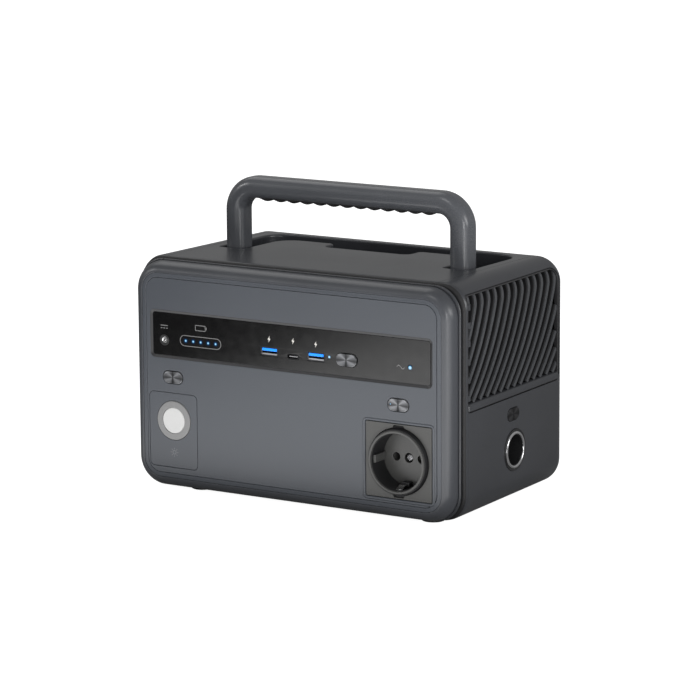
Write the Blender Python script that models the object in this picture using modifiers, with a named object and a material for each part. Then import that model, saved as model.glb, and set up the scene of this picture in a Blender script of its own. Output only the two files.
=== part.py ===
"""Portable power station with a folding carry handle, built from its separate pieces.

Sizes below are millimetres. Each mesh is turned into metres as it is made.
+X is the right side seen from the front, -Y is the front and +Z is up. The origin is on the
surface the feet stand on, under the middle of the case.
"""

import math

import bmesh
import bpy
from mathutils import Matrix, Vector

MM = 0.001
GAP = 0.3

# Case
HALF_WIDTH = 124.4
BASE_Z = 2.05
TOP_Z = 157.5
CORNER_RADIUS = 20.0
WALL = 2.5
FRONT_Y = -76.0
FRONT_SEAM_Y = -66.0
REAR_SEAM_Y = 74.4
REAR_Y = 79.6
BEZEL_BORDER = 6.95

# The shell stands out past the bezel and draws in a little towards the rear
SHELL_FRONT_Y = -58.0
SHELL_FRONT_HALF_WIDTH = 127.6
SHELL_REAR_HALF_WIDTH = 125.4
SHELL_FRONT_TOP_Z = 159.6
SHELL_REAR_TOP_Z = 158.3
SHELL_BASE_Z = 1.6
SHELL_RADIUS = 17.5
REAR_ROUNDING = 11.5
ROUNDING_Y = REAR_Y - REAR_ROUNDING
SIDE_SEAM_X = 106.2
MIDDLE_Z = (BASE_Z + TOP_Z) / 2
HEIGHT = TOP_Z - BASE_Z

# Front panel: a thin plate lying in a pocket of the front cover
POCKET_DEPTH = 1.8
POCKET_Y = FRONT_Y + POCKET_DEPTH
FRONT_INNER_Y = POCKET_Y + WALL
PLATE_BACK_Y = POCKET_Y - GAP
WINDOW_HALF_WIDTH = 110.8
WINDOW_Z = (92.05, 125.2)
WINDOW_FRONT_Y = FRONT_Y + 0.7

# Buttons: one size, three on the front and one on the right side
BUTTON_WIDTH = 16.0
BUTTON_HEIGHT = 8.5
BUTTON_CLEARANCE = 0.3
BUTTON_LENGTH = 5.0
BUTTON_PROUD = 0.5
LIGHT_BUTTON = (-92.7, 79.2)
AC_BUTTON = (85.0, 78.9)
USB_BUTTON = (45.5, 104.8)
CAR_BUTTON = (3.4, 62.7)

# Ports in the display window, as (x, z)
USB_A_CENTRES = {"left": (-15.2, 104.4), "right": (21.4, 104.4)}
USB_A_SIZE = (13.3, 5.8)
USB_A_WALL = 0.45
USB_C_CENTRE = (3.7, 102.9)
USB_C_SIZE = (9.3, 3.4)
DC_JACK = (-99.7, 104.3)
DC_JACK_RADIUS = 3.7
CHARGE_GUIDE = (-70.3, 105.5)
USB_INDICATOR = (31.9, 105.5)
AC_INDICATOR = (93.6, 104.5)
PORT_DEPTH = 12.0

# Mains outlet
SOCKET = (85.1, 41.1)
SOCKET_PLATE = 50.0
SOCKET_COLLAR_RADIUS = 21.2
SOCKET_CUP_RADIUS = 19.4
SOCKET_PROUD = 3.6
SOCKET_FLOOR_Y = FRONT_Y + 13.2
SOCKET_PIN_SPACING = 19.0
SOCKET_BACK_Y = -46.0
SOCKET_KEY_RADII = (17.3, 18.6)

# Lamp
LAMP = (-92.45, 49.4)
LAMP_RING_RADIUS = 13.55
LAMP_LENS_RADIUS = 8.9
LAMP_NECK_RADIUS = 11.5

# Louvred side grille
GRILLE_Y = (-61.6, 70.2)
GRILLE_Z = (74.3, 152.2)
GRILLE_RECESS = 1.8
GRILLE_CORNER = 3.5
GRILLE_BAR_HEIGHT = 5.5
GRILLE_RIM = 1.8
LOUVRE_PITCH = 9.35
LOUVRE_SLOT = 4.9
LOUVRE_SLOPE = 0.78

# 12 V car socket, on the right side, as (y, z)
CAR_SOCKET = (5.4, 38.0)
CAR_BORE_RADIUS = 10.45
CAR_RING_RADIUS = 12.6
CAR_COLLAR_RADIUS = 14.4

# Handle
LEG_X = 89.0
PIVOT_Y = 2.0
PIVOT_Z = 148.5
BAR_Z = 201.3
SECTION_WIDE = 15.0
SECTION_DEEP = 18.0
SECTION_RADIUS = 6.0
BEND_RADIUS = 16.5
PIN_RADIUS = 2.5
PIN_CLEARANCE = 0.06
GRIP_HALF_LENGTH = 69.5
GRIP_WIDTH = 12.0
GRIP_WAVES = 13
GRIP_WAVE_DEPTH = 1.4
GRIP_POCKET = 1.6

# Recess in the top that the handle folds into
CHANNEL_IN_X = 79.2
CHANNEL_OUT_X = 98.8
CHANNEL_FRONT_Y = PIVOT_Y - 10.6
CHANNEL_REAR_Y = 64.5
ISLAND_REAR_Y = 43.5
NOTCH_FRONT_Y = 27.5
NOTCH_X = (-36.7, 31.0)
CHANNEL_FLOOR_Z = PIVOT_Z - SECTION_DEEP / 2 - 1.0

FOOT_RADIUS = 8.0
FOOT_HEIGHT = 1.3
FEET = {
    "front_left": (-82.0, -57.4),
    "front_right": (100.5, -57.4),
    "rear_left": (-82.0, 57.4),
    "rear_right": (82.0, 57.4),
}

# Inside
CELL_SIZE = (148.0, 26.5, 92.0)
CELL_X = -26.0
CELL_Z = 8.6
CELL_FIRST_Y = -40.0
FAN_SIZE = 60.0
FAN_CENTRE = (-111.0, -6.0, 106.0)
FAN_DEPTH = 15.0
FAN_BLADES = 7

COLLECTION_NAME = "power_station"
parts = None
cutters = None


# ---------------------------------------------------------------- set-up and materials


def clear_scene():
    for obj in list(bpy.data.objects):
        bpy.data.objects.remove(obj, do_unlink=True)


def new_collection(name):
    collection = bpy.data.collections.new(name)
    bpy.context.scene.collection.children.link(collection)
    return collection


def new_material(name, colour, roughness, metallic=0.0):
    material = bpy.data.materials.new(name)
    material.use_nodes = True
    shader = material.node_tree.nodes["Principled BSDF"]
    shader.inputs["Base Color"].default_value = (*colour, 1.0)
    shader.inputs["Roughness"].default_value = roughness
    shader.inputs["Metallic"].default_value = metallic
    material.diffuse_color = (*colour, 1.0)
    return material


def make_materials():
    return {
        "shell": new_material("charcoal_plastic", (0.035, 0.037, 0.041), 0.45),
        "plate": new_material("blue_grey_panel", (0.085, 0.097, 0.118), 0.5),
        "window": new_material("black_acrylic", (0.008, 0.008, 0.009), 0.12),
        "rubber": new_material("black_rubber", (0.02, 0.02, 0.02), 0.8),
        "button": new_material("dark_button", (0.13, 0.13, 0.14), 0.35, 0.6),
        "black": new_material("black_plastic", (0.015, 0.015, 0.016), 0.5),
        "socket": new_material("warm_grey_plastic", (0.095, 0.092, 0.085), 0.5),
        "chrome": new_material("chrome", (0.75, 0.75, 0.76), 0.12, 1.0),
        "steel": new_material("steel", (0.55, 0.55, 0.56), 0.3, 1.0),
        "brass": new_material("brass", (0.62, 0.48, 0.2), 0.3, 1.0),
        "aluminium": new_material("aluminium", (0.6, 0.6, 0.62), 0.35, 1.0),
        "blue": new_material("blue_plastic", (0.0, 0.14, 0.75), 0.4),
        "ring": new_material("grey_lamp_ring", (0.25, 0.25, 0.25), 0.4),
        "lens": new_material("frosted_lens", (0.8, 0.8, 0.78), 0.5),
        "board": new_material("green_board", (0.01, 0.11, 0.05), 0.5),
        "cell": new_material("cell_wrap", (0.02, 0.12, 0.38), 0.4),
        "indicator": new_material("indicator_lens", (0.3, 0.75, 1.0), 0.3),
    }


# ---------------------------------------------------------------- outlines, as lists of 2D points


def rounded_polygon(corners, radii, steps=6):
    """The polygon with each corner replaced by an arc that touches both of its sides."""
    points = []
    count = len(corners)
    for i, (corner, radius) in enumerate(zip(corners, radii)):
        here = Vector(corner)
        before = (Vector(corners[i - 1]) - here).normalized()
        after = (Vector(corners[(i + 1) % count]) - here).normalized()
        if radius <= 0:
            points.append(tuple(here))
            continue
        half = before.angle(after) / 2
        centre = here + (before + after).normalized() * (radius / math.sin(half))
        start = here + before * (radius / math.tan(half)) - centre
        end = here + after * (radius / math.tan(half)) - centre
        turn = start.angle_signed(end)
        for step in range(steps + 1):
            angle = -turn * step / steps
            spoke = Matrix.Rotation(angle, 2) @ start
            points.append(tuple(centre + spoke))
    return points


def rounded_rect(centre, width, height, radius, steps=6):
    u, v = centre
    corners = [
        (u - width / 2, v - height / 2),
        (u + width / 2, v - height / 2),
        (u + width / 2, v + height / 2),
        (u - width / 2, v + height / 2),
    ]
    return rounded_polygon(corners, [radius] * 4, steps)


def stadium(centre, width, height, steps=6):
    return rounded_rect(centre, width, height, height * 0.499, steps)


def circle(centre, radius, steps=28):
    turns = [2 * math.pi * (i + 0.5) / steps for i in range(steps)]
    return [(centre[0] + radius * math.cos(a), centre[1] + radius * math.sin(a)) for a in turns]


def button_hole(centre):
    extra = 2 * BUTTON_CLEARANCE
    return stadium(centre, BUTTON_WIDTH + extra, BUTTON_HEIGHT + extra)


def case_outline(inset, steps=6):
    """The case's cross-section, this far inside the bezel's outer edge."""
    return rounded_rect(
        (0, MIDDLE_Z),
        2 * (HALF_WIDTH - inset),
        HEIGHT - 2 * inset,
        CORNER_RADIUS - inset,
        steps,
    )


def between(y, front, rear):
    """A size that changes evenly from the front of the shell to the rear."""
    return front + (rear - front) * (y - SHELL_FRONT_Y) / (ROUNDING_Y - SHELL_FRONT_Y)


def shell_half_width(y):
    return between(y, SHELL_FRONT_HALF_WIDTH, SHELL_REAR_HALF_WIDTH)


def shell_top(y):
    return between(y, SHELL_FRONT_TOP_Z, SHELL_REAR_TOP_Z)


def rear_ring(y, inset, steps=7):
    """The shell's outline where it rounds off at the rear, this far inside its widest part."""
    height = SHELL_REAR_TOP_Z - SHELL_BASE_Z
    outline = rounded_rect(
        (0, SHELL_BASE_Z + height / 2),
        2 * (SHELL_REAR_HALF_WIDTH - inset),
        height - 2 * inset,
        SHELL_RADIUS - inset,
        steps,
    )
    return [(x, y, z) for x, z in outline]


def rounding_inset(y):
    """How far the rear rounding has drawn the outline in at this depth."""
    along = max(y - ROUNDING_Y, 0.0)
    return REAR_ROUNDING - math.sqrt(max(REAR_ROUNDING**2 - along**2, 0.0))


# ---------------------------------------------------------------- solids


def new_object(name, mesh, material, collection=None):
    obj = bpy.data.objects.new(name, mesh)
    (collection or parts).objects.link(obj)
    if material:
        mesh.materials.clear()
        mesh.materials.append(material)
    return obj


def mesh_from(bm, name):
    """Turns the millimetre mesh into metres, with its faces outward and its round faces smooth."""
    bmesh.ops.recalc_face_normals(bm, faces=bm.faces)
    if bm.calc_volume(signed=True) < 0:
        bmesh.ops.reverse_faces(bm, faces=bm.faces)
    bmesh.ops.scale(bm, vec=(MM, MM, MM), verts=bm.verts)
    mesh = bpy.data.meshes.new(name)
    bm.to_mesh(mesh)
    bm.free()
    mesh.shade_smooth()
    mesh.set_sharp_from_angle(angle=math.radians(30))
    return mesh


def loft(name, rings, material, collection=None):
    """A closed solid through rings of equal length, with a flat face on the first and the last."""
    bm = bmesh.new()
    rows = [[bm.verts.new(point) for point in ring] for ring in rings]
    for low, high in zip(rows, rows[1:]):
        for i in range(len(low)):
            j = (i + 1) % len(low)
            bm.faces.new((low[i], low[j], high[j], high[i]))
    bm.faces.new(rows[0][::-1])
    bm.faces.new(rows[-1])
    return new_object(name, mesh_from(bm, name), material, collection)


def along(axis, middle):
    """The matrix that stands a flat XY outline across an axis: (x, z) for Y and (y, z) for X."""
    if axis == "Y":
        turn = Matrix(((1, 0, 0, 0), (0, 0, -1, middle), (0, 1, 0, 0), (0, 0, 0, 1)))
    elif axis == "X":
        turn = Matrix(((0, 0, 1, middle), (1, 0, 0, 0), (0, 1, 0, 0), (0, 0, 0, 1)))
    else:
        turn = Matrix.Translation((0, 0, middle))
    return turn


def prism(name, outlines, axis, low, high, material=None, collection=None):
    """A flat outline, with any others inside it as holes, given a thickness along an axis."""
    curve = bpy.data.curves.new(name, "CURVE")
    curve.dimensions = "2D"
    curve.fill_mode = "BOTH"
    curve.extrude = (high - low) / 2
    for outline in outlines:
        spline = curve.splines.new("POLY")
        spline.points.add(len(outline) - 1)
        for point, (u, v) in zip(spline.points, outline):
            point.co = (u, v, 0, 1)
        spline.use_cyclic_u = True
    guide = bpy.data.objects.new(name + "_outline", curve)
    parts.objects.link(guide)
    graph = bpy.context.evaluated_depsgraph_get()
    mesh = bpy.data.meshes.new_from_object(guide.evaluated_get(graph))
    bpy.data.objects.remove(guide)
    bpy.data.curves.remove(curve)
    bm = bmesh.new()
    bm.from_mesh(mesh)
    bpy.data.meshes.remove(mesh)
    bmesh.ops.remove_doubles(bm, verts=bm.verts, dist=0.001)
    bmesh.ops.transform(bm, matrix=along(axis, (low + high) / 2), verts=bm.verts)
    return new_object(name, mesh_from(bm, name), material, collection)


def box(name, low, high, material=None, collection=None, bevel=0.0):
    """A box from its low corner to its high corner."""
    bm = bmesh.new()
    bmesh.ops.create_cube(bm, size=1.0)
    size = [b - a for a, b in zip(low, high)]
    middle = [(a + b) / 2 for a, b in zip(low, high)]
    bmesh.ops.scale(bm, vec=size, verts=bm.verts)
    bmesh.ops.translate(bm, vec=middle, verts=bm.verts)
    obj = new_object(name, mesh_from(bm, name), material, collection)
    if bevel:
        add_bevel(obj, bevel)
    return obj


def turned(name, profile, place, axis, material, steps=28, collection=None):
    """A profile of (radius, height) turned about an axis. Height runs along the axis."""
    mesh = bpy.data.meshes.new(name)
    points = [(radius * MM, 0, height * MM) for radius, height in profile]
    closed = all(radius > 0 for radius, _ in profile)
    last = len(points)
    edges = [(i, (i + 1) % last) for i in range(last if closed else last - 1)]
    mesh.from_pydata(points, edges, [])
    obj = new_object(name, mesh, material, collection)
    screw = obj.modifiers.new("turn", "SCREW")
    screw.axis = "Z"
    screw.steps = steps
    screw.render_steps = steps
    screw.use_merge_vertices = True
    screw.merge_threshold = 0.0001
    screw.use_smooth_shade = True
    turns = {"Z": (0, 0, 0), "-Y": (math.pi / 2, 0, 0), "X": (0, math.pi / 2, 0)}
    obj.rotation_euler = turns[axis]
    obj.location = Vector(place) * MM
    return obj


def cylinder(name, start, end, radius, material=None, collection=None, steps=24):
    """A cylinder between two points."""
    start, end = Vector(start), Vector(end)
    bm = bmesh.new()
    bmesh.ops.create_cone(
        bm, cap_ends=True, segments=steps, radius1=radius, radius2=radius, depth=(end - start).length
    )
    turn = (end - start).to_track_quat("Z", "Y").to_matrix().to_4x4()
    bmesh.ops.transform(bm, matrix=Matrix.Translation((start + end) / 2) @ turn, verts=bm.verts)
    return new_object(name, mesh_from(bm, name), material, collection)


def add_bevel(obj, width, segments=1):
    bevel = obj.modifiers.new("edges", "BEVEL")
    bevel.width = width * MM
    bevel.segments = segments
    bevel.limit_method = "ANGLE"
    bevel.angle_limit = math.radians(50)
    return bevel


def boolean(obj, other, operation="DIFFERENCE"):
    """Cuts the other object out of this one, or joins it on, and keeps it as a hidden cutter."""
    modifier = obj.modifiers.new(other.name, "BOOLEAN")
    modifier.operation = operation
    modifier.object = other
    other.hide_render = True
    other.display_type = "WIRE"
    for collection in list(other.users_collection):
        collection.objects.unlink(other)
    cutters.objects.link(other)


def set_origin(obj, origin):
    """Moves the object's origin, and leaves its shape where it is."""
    offset = Vector(origin) * MM
    obj.data.transform(Matrix.Translation(-offset))
    obj.location = offset


# ---------------------------------------------------------------- case


def bezel_rings(seam_y, face_y):
    """The rounded edge from the seam to the face, as rings along a quarter of an ellipse."""
    rings = []
    for step in range(5):
        angle = math.pi / 2 * step / 4
        inset = BEZEL_BORDER * (1 - math.cos(angle))
        y = seam_y + (face_y - seam_y) * math.sin(angle)
        rings.append([(x, y, z) for x, z in case_outline(inset)])
    return rings


def ring_at(inset, y):
    return [(x, y, z) for x, z in case_outline(inset)]


def build_front_cover(mat):
    pocket = [ring_at(BEZEL_BORDER, POCKET_Y)]
    outside = bezel_rings(FRONT_SEAM_Y, FRONT_Y)[::-1]
    inside = [ring_at(WALL + 0.5, FRONT_SEAM_Y), ring_at(WALL + 2.0, FRONT_INNER_Y)]
    cover = loft("front_cover", pocket + outside + inside, mat["shell"])
    window_middle = sum(WINDOW_Z) / 2
    holes = [
        rounded_rect((-3.0, window_middle - 3.0), 214.0, 18.0, 3.0, 3),
        circle(SOCKET, SOCKET_COLLAR_RADIUS + 0.6, 32),
        circle(LAMP, LAMP_NECK_RADIUS + 0.4),
        button_hole(LIGHT_BUTTON),
        button_hole(AC_BUTTON),
    ]
    for i, hole in enumerate(holes):
        boolean(cover, prism(f"front_hole_{i}", [hole], "Y", FRONT_Y - 1, FRONT_INNER_Y + 1))


def build_face_plate(mat):
    window = rounded_rect((0, sum(WINDOW_Z) / 2), 2 * WINDOW_HALF_WIDTH, WINDOW_Z[1] - WINDOW_Z[0], 3.0, 4)
    holes = [
        window,
        rounded_rect(SOCKET, SOCKET_PLATE + 2 * GAP, SOCKET_PLATE + 2 * GAP, 1.2, 2),
        circle(LAMP, LAMP_RING_RADIUS + GAP),
        button_hole(LIGHT_BUTTON),
        button_hole(AC_BUTTON),
    ]
    outline = case_outline(BEZEL_BORDER + GAP)
    prism("face_plate", [outline] + holes, "Y", FRONT_Y, PLATE_BACK_Y, mat["plate"])


def build_window(mat):
    middle = sum(WINDOW_Z) / 2
    height = WINDOW_Z[1] - WINDOW_Z[0]
    outline = rounded_rect((0, middle), 2 * (WINDOW_HALF_WIDTH - GAP), height - 2 * GAP, 2.7, 4)
    holes = [
        circle(DC_JACK, DC_JACK_RADIUS + GAP, 24),
        button_hole(USB_BUTTON),
        circle(USB_INDICATOR, 1.2 + GAP, 12),
        circle(AC_INDICATOR, 1.9 + GAP, 16),
        stadium(USB_C_CENTRE, USB_C_SIZE[0] + 2 * GAP, USB_C_SIZE[1] + 2 * GAP, 4),
    ]
    for centre in USB_A_CENTRES.values():
        holes.append(rounded_rect(centre, USB_A_SIZE[0] + 2 * GAP, USB_A_SIZE[1] + 2 * GAP, 0.6, 1))
    prism("display_window", [outline] + holes, "Y", WINDOW_FRONT_Y, PLATE_BACK_Y, mat["window"])


def shell_size(y, share, inset):
    """(half width, base, top, radius) between the bezel's outline (share 0) and the shell's (1)."""
    half_width = HALF_WIDTH + (shell_half_width(y) - HALF_WIDTH) * share - inset
    base = BASE_Z + (SHELL_BASE_Z - BASE_Z) * share + inset
    top = TOP_Z + (shell_top(y) - TOP_Z) * share - inset
    return half_width, base, top, CORNER_RADIUS + (SHELL_RADIUS - CORNER_RADIUS) * share - inset


def c_shape(size, steps=7):
    """From the top seam round the side to the bottom seam, as (x, z)."""
    x_out, z_low, z_high, radius = size
    seam = SIDE_SEAM_X + GAP / 2
    middle = x_out - radius
    turn = math.acos(min(max((seam - middle) / radius, 0.0), 1.0))
    drop = radius * (1 - math.sin(turn))
    arc = [turn * (0.97 - 0.97 * step / steps) for step in range(steps + 1)]
    upper = [(middle + radius * math.cos(a), z_high - radius + radius * math.sin(a)) for a in arc]
    lower = [(x, z_low + z_high - z) for x, z in upper[::-1]]
    return [(seam, z_high - drop)] + upper + lower + [(seam, z_low + drop)]


def shell_stations():
    """(y, share, inset, inner share) rows: a raised bead, a groove, the wall, the rear rounding."""
    start = FRONT_SEAM_Y + GAP
    rows = [
        (start, 0.2, 0.0, 0.0),
        (start + 0.6, 0.42, 0.0, 0.0),
        (start + 1.5, 0.42, 0.0, 0.0),
        (start + 2.1, -0.15, 0.0, 0.0),
        (start + 4.6, -0.15, 0.0, 0.0),
        (start + 6.9, 0.85, 0.0, 0.4),
        (SHELL_FRONT_Y, 1.0, 0.0, 0.6),
        (SHELL_FRONT_Y + 3.0, 1.0, 0.0, 1.0),
    ]
    for step in range(4):
        y = ROUNDING_Y + (REAR_SEAM_Y - GAP - ROUNDING_Y) * step / 3
        rows.append((y, 1.0, rounding_inset(y), 1.0))
    return rows


def build_shell(name, side, mat):
    rings = []
    for y, share, inset, inner_share in shell_stations():
        outside = c_shape(shell_size(y, share, inset))
        inside = c_shape(shell_size(y, inner_share, inset + WALL))
        rings.append([(side * x, y, z) for x, z in outside + inside[::-1]])
    shell = loft(name, rings, mat["shell"])
    boolean(shell, grille_prism(name + "_vent", side, 0.0))
    return shell


def grille_prism(name, side, inset):
    """The grille's rounded outline, this far inside its opening, as a block across the shell."""
    middle = (sum(GRILLE_Y) / 2, sum(GRILLE_Z) / 2)
    width = GRILLE_Y[1] - GRILLE_Y[0] - 2 * inset
    height = GRILLE_Z[1] - GRILLE_Z[0] - 2 * inset
    outline = rounded_rect(middle, width, height, GRILLE_CORNER - inset, 3)
    return prism(name, [outline], "X", *sorted((side * 111.0, side * 130.0)))


def build_right_side_holes(shell):
    through = (SHELL_REAR_HALF_WIDTH - 6.0, SHELL_FRONT_HALF_WIDTH + 6.0)
    boolean(shell, prism("car_button_hole", [button_hole(CAR_BUTTON)], "X", *through))
    socket = circle(CAR_SOCKET, CAR_BORE_RADIUS + 1.6)
    boolean(shell, prism("car_socket_hole", [socket], "X", *through))


def channel_outline(grow):
    """The U-shaped recess seen from above, this much wider all round."""
    out_x = CHANNEL_OUT_X + grow
    in_x = CHANNEL_IN_X - grow
    front = CHANNEL_FRONT_Y - grow
    rear = CHANNEL_REAR_Y + grow
    island = ISLAND_REAR_Y - grow
    notch = NOTCH_FRONT_Y - grow
    left, right = NOTCH_X[0] - grow, NOTCH_X[1] + grow
    corners = [
        (-out_x, front),
        (-in_x, front),
        (-in_x, island),
        (left, island),
        (left, notch),
        (right, notch),
        (right, island),
        (in_x, island),
        (in_x, front),
        (out_x, front),
        (out_x, rear),
        (-out_x, rear),
    ]
    small, large = 2.0, 16.0
    radii = [small, small, large, 4.0, 5.0, 5.0, 4.0, large, small, small, large + 2, large + 2]
    return rounded_polygon(corners, radii, 4)


def build_top_cover(mat):
    half = SIDE_SEAM_X - GAP / 2
    section = [(y, shell_size(y, share, inset)[2]) for y, share, inset, _ in shell_stations()]
    under = TOP_Z - WALL
    profile = section + [(REAR_SEAM_Y - GAP, under - 1.9), (ROUNDING_Y, under), (FRONT_SEAM_Y + GAP, under)]
    cover = prism("top_cover", [profile], "X", -half, half, mat["shell"])
    block_top = SHELL_REAR_TOP_Z - 1.2
    block = prism("top_trough", [channel_outline(2.6)], "Z", CHANNEL_FLOOR_Z - WALL, block_top)
    boolean(cover, block, "UNION")
    hollow = prism("top_channel", [channel_outline(0.0)], "Z", CHANNEL_FLOOR_Z, SHELL_FRONT_TOP_Z + 5)
    boolean(cover, hollow)
    for side, name in ((-1, "left"), (1, "right")):
        ends = [(side * x, PIVOT_Y, PIVOT_Z) for x in (CHANNEL_IN_X - 4, CHANNEL_OUT_X + 4)]
        bore = cylinder(f"pin_hole_{name}", *ends, PIN_RADIUS + 2 * PIN_CLEARANCE)
        boolean(cover, bore)


def build_bottom_cover(mat):
    half = SIDE_SEAM_X - GAP / 2
    section = [(y, shell_size(y, share, inset)[1]) for y, share, inset, _ in shell_stations()]
    over = SHELL_BASE_Z + WALL + 0.4
    profile = section + [(REAR_SEAM_Y - GAP, over + 1.5), (ROUNDING_Y, over), (FRONT_SEAM_Y + GAP, over)]
    prism("bottom_cover", [profile], "X", -half, half, mat["shell"])


def rear_screw_places():
    return [(x, z) for z in (16.0, 144.5) for x in (-107.0, 107.0)]


def build_rear_cover(mat):
    outside = []
    for step in range(6):
        first = math.asin((REAR_SEAM_Y - ROUNDING_Y) / REAR_ROUNDING)
        angle = first + (math.pi / 2 - first) * step / 5
        inset = REAR_ROUNDING * (1 - math.cos(angle))
        outside.append(rear_ring(ROUNDING_Y + REAR_ROUNDING * math.sin(angle), inset))
    start = rounding_inset(REAR_SEAM_Y) + WALL
    inside = [rear_ring(REAR_SEAM_Y, start), rear_ring(REAR_Y - WALL, start + 3.5)]
    outside = outside[::-1]
    cover = loft("rear_cover", outside + inside, mat["shell"])
    for i, place in enumerate(rear_screw_places(), 1):
        x, z = place
        hole = cylinder(f"screw_hole_{i}", (x, REAR_Y - 5, z), (x, REAR_Y + 1, z), 1.9, steps=16)
        boolean(cover, hole)
        sink = cylinder(f"screw_sink_{i}", (x, REAR_Y - 1.3, z), (x, REAR_Y + 1, z), 3.4, steps=16)
        boolean(cover, sink)
        profile = [(0, -0.3), (2.9, -0.3), (2.9, -1.0), (1.5, -1.0), (1.5, -12.0), (0, -12.0)]
        turned_y = [(radius, -height) for radius, height in profile][::-1]
        turned(f"rear_screw_{i}", turned_y, (x, REAR_Y, z), "-Y", mat["steel"], 16)


def build_feet(mat):
    for place, (x, y) in FEET.items():
        sole = FOOT_RADIUS - 0.6
        profile = [(0, FOOT_HEIGHT), (FOOT_RADIUS, FOOT_HEIGHT), (sole, 0.0), (0, 0.0)]
        turned(f"foot_{place}", profile, (x, y, 0), "Z", mat["rubber"], 24)


# ---------------------------------------------------------------- handle


def handle_path():
    """(x, z, lean) down the middle of the handle, from the left leg's end to the right's."""
    top = BAR_Z - BEND_RADIUS
    bend_x = LEG_X - BEND_RADIUS
    left = [(-LEG_X, PIVOT_Z, 0.0)]
    for step in range(7):
        angle = math.pi / 2 * step / 6
        x = -bend_x - BEND_RADIUS * math.cos(angle)
        left.append((x, top + BEND_RADIUS * math.sin(angle), angle))
    right = [(-x, z, math.pi - lean) for x, z, lean in left[::-1]]
    return left + right


def build_handle(mat):
    section = rounded_rect((0, 0), SECTION_WIDE, SECTION_DEEP, SECTION_RADIUS, 3)
    rings = []
    for x, z, lean in handle_path():
        across = Vector((-math.cos(lean), 0, math.sin(lean)))
        centre = Vector((x, PIVOT_Y, z))
        rings.append([centre + across * u + Vector((0, v, 0)) for u, v in section])
    handle = loft("handle", rings, mat["shell"])
    for side, name in ((-1, "left"), (1, "right")):
        ends = [(side * x, PIVOT_Y, PIVOT_Z) for x in (LEG_X - 7.0, LEG_X + 7.0)]
        boss = cylinder(f"leg_end_{name}", *ends, SECTION_DEEP / 2 - 0.4, steps=32)
        boolean(handle, boss, "UNION")
        ends = [(side * x, PIVOT_Y, PIVOT_Z) for x in (LEG_X - 12.0, LEG_X + 12.0)]
        bore = cylinder(f"leg_bore_{name}", *ends, (PIN_RADIUS + PIN_CLEARANCE) / math.cos(math.pi / 24))
        boolean(handle, bore)
    under = BAR_Z - SECTION_WIDE / 2
    half = GRIP_HALF_LENGTH + GAP
    pocket_low = (-half, PIVOT_Y - GRIP_WIDTH / 2 - GAP, under - 2)
    pocket_high = (half, PIVOT_Y + GRIP_WIDTH / 2 + GAP, under + GRIP_POCKET)
    boolean(handle, box("grip_pocket", pocket_low, pocket_high))
    set_origin(handle, (0, PIVOT_Y, PIVOT_Z))
    build_grip(mat, handle, under)
    for side, name in ((-1, "left"), (1, "right")):
        build_pin(f"pivot_pin_{name}", side, mat)


def build_grip(mat, handle, under):
    outline = [(-GRIP_HALF_LENGTH, under + GRIP_POCKET - GAP)]
    samples = GRIP_WAVES * 6
    for i in range(samples + 1):
        x = -GRIP_HALF_LENGTH + 2 * GRIP_HALF_LENGTH * i / samples
        wave = (1 - math.cos(2 * math.pi * GRIP_WAVES * i / samples)) / 2
        outline.append((x, under - 0.1 - GRIP_WAVE_DEPTH * wave))
    outline.append((GRIP_HALF_LENGTH, under + GRIP_POCKET - GAP))
    ends = (PIVOT_Y - GRIP_WIDTH / 2, PIVOT_Y + GRIP_WIDTH / 2)
    grip = prism("handle_grip", [outline], "Y", *ends, mat["rubber"])
    set_origin(grip, (0, PIVOT_Y, PIVOT_Z))
    grip.parent = handle
    grip.location = (0, 0, 0)


def build_pin(name, side, mat):
    """A headed pin through both walls of the channel and the leg between them."""
    start = side * (CHANNEL_IN_X - 2.2)
    neck = side * (CHANNEL_OUT_X + 2.9)
    end = neck + side * 1.5
    pin = cylinder(name, (start, PIVOT_Y, PIVOT_Z), (end, PIVOT_Y, PIVOT_Z), PIN_RADIUS, mat["steel"])
    head = cylinder(name + "_head", (neck, PIVOT_Y, PIVOT_Z), (end, PIVOT_Y, PIVOT_Z), 4.0)
    boolean(pin, head, "UNION")


# ---------------------------------------------------------------- buttons, ports and lights


def build_front_button(name, centre, mat):
    outline = stadium(centre, BUTTON_WIDTH, BUTTON_HEIGHT)
    front = FRONT_Y - BUTTON_PROUD
    button = prism(name, [outline], "Y", front, front + BUTTON_LENGTH, mat["button"])
    set_origin(button, (centre[0], front, centre[1]))
    add_bevel(button, 0.4)


def build_car_button(mat):
    face = shell_half_width(CAR_BUTTON[0]) + BUTTON_PROUD
    outline = stadium(CAR_BUTTON, BUTTON_WIDTH, BUTTON_HEIGHT)
    button = prism("car_button", [outline], "X", face - BUTTON_LENGTH, face, mat["button"])
    set_origin(button, (face, *CAR_BUTTON))
    add_bevel(button, 0.4)


def build_dc_jack(mat):
    front, back = WINDOW_FRONT_Y - 0.2, WINDOW_FRONT_Y + PORT_DEPTH
    x, z = DC_JACK
    outlines = [circle(DC_JACK, DC_JACK_RADIUS, 24), circle(DC_JACK, 2.8, 24)]
    prism("dc_jack", outlines, "Y", front, back, mat["black"])
    cylinder("dc_jack_pin", (x, front + 1.5, z), (x, back, z), 1.05, mat["steel"], steps=12)


def build_usb_a(side, centre, mat):
    front, back = WINDOW_FRONT_Y, WINDOW_FRONT_Y + PORT_DEPTH
    width, height = USB_A_SIZE
    inner = (width - 2 * USB_A_WALL, height - 2 * USB_A_WALL)
    outlines = [rounded_rect(centre, width, height, 0.6, 1), rounded_rect(centre, *inner, 0.3, 1)]
    prism(f"usb_a_shell_{side}", outlines, "Y", front, back, mat["steel"])
    x, z = centre
    low = (x - 5.6, front + 0.9, z + 0.25)
    high = (x + 5.6, back, z + 2.1)
    box(f"usb_a_tongue_{side}", low, high, mat["blue"])


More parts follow.
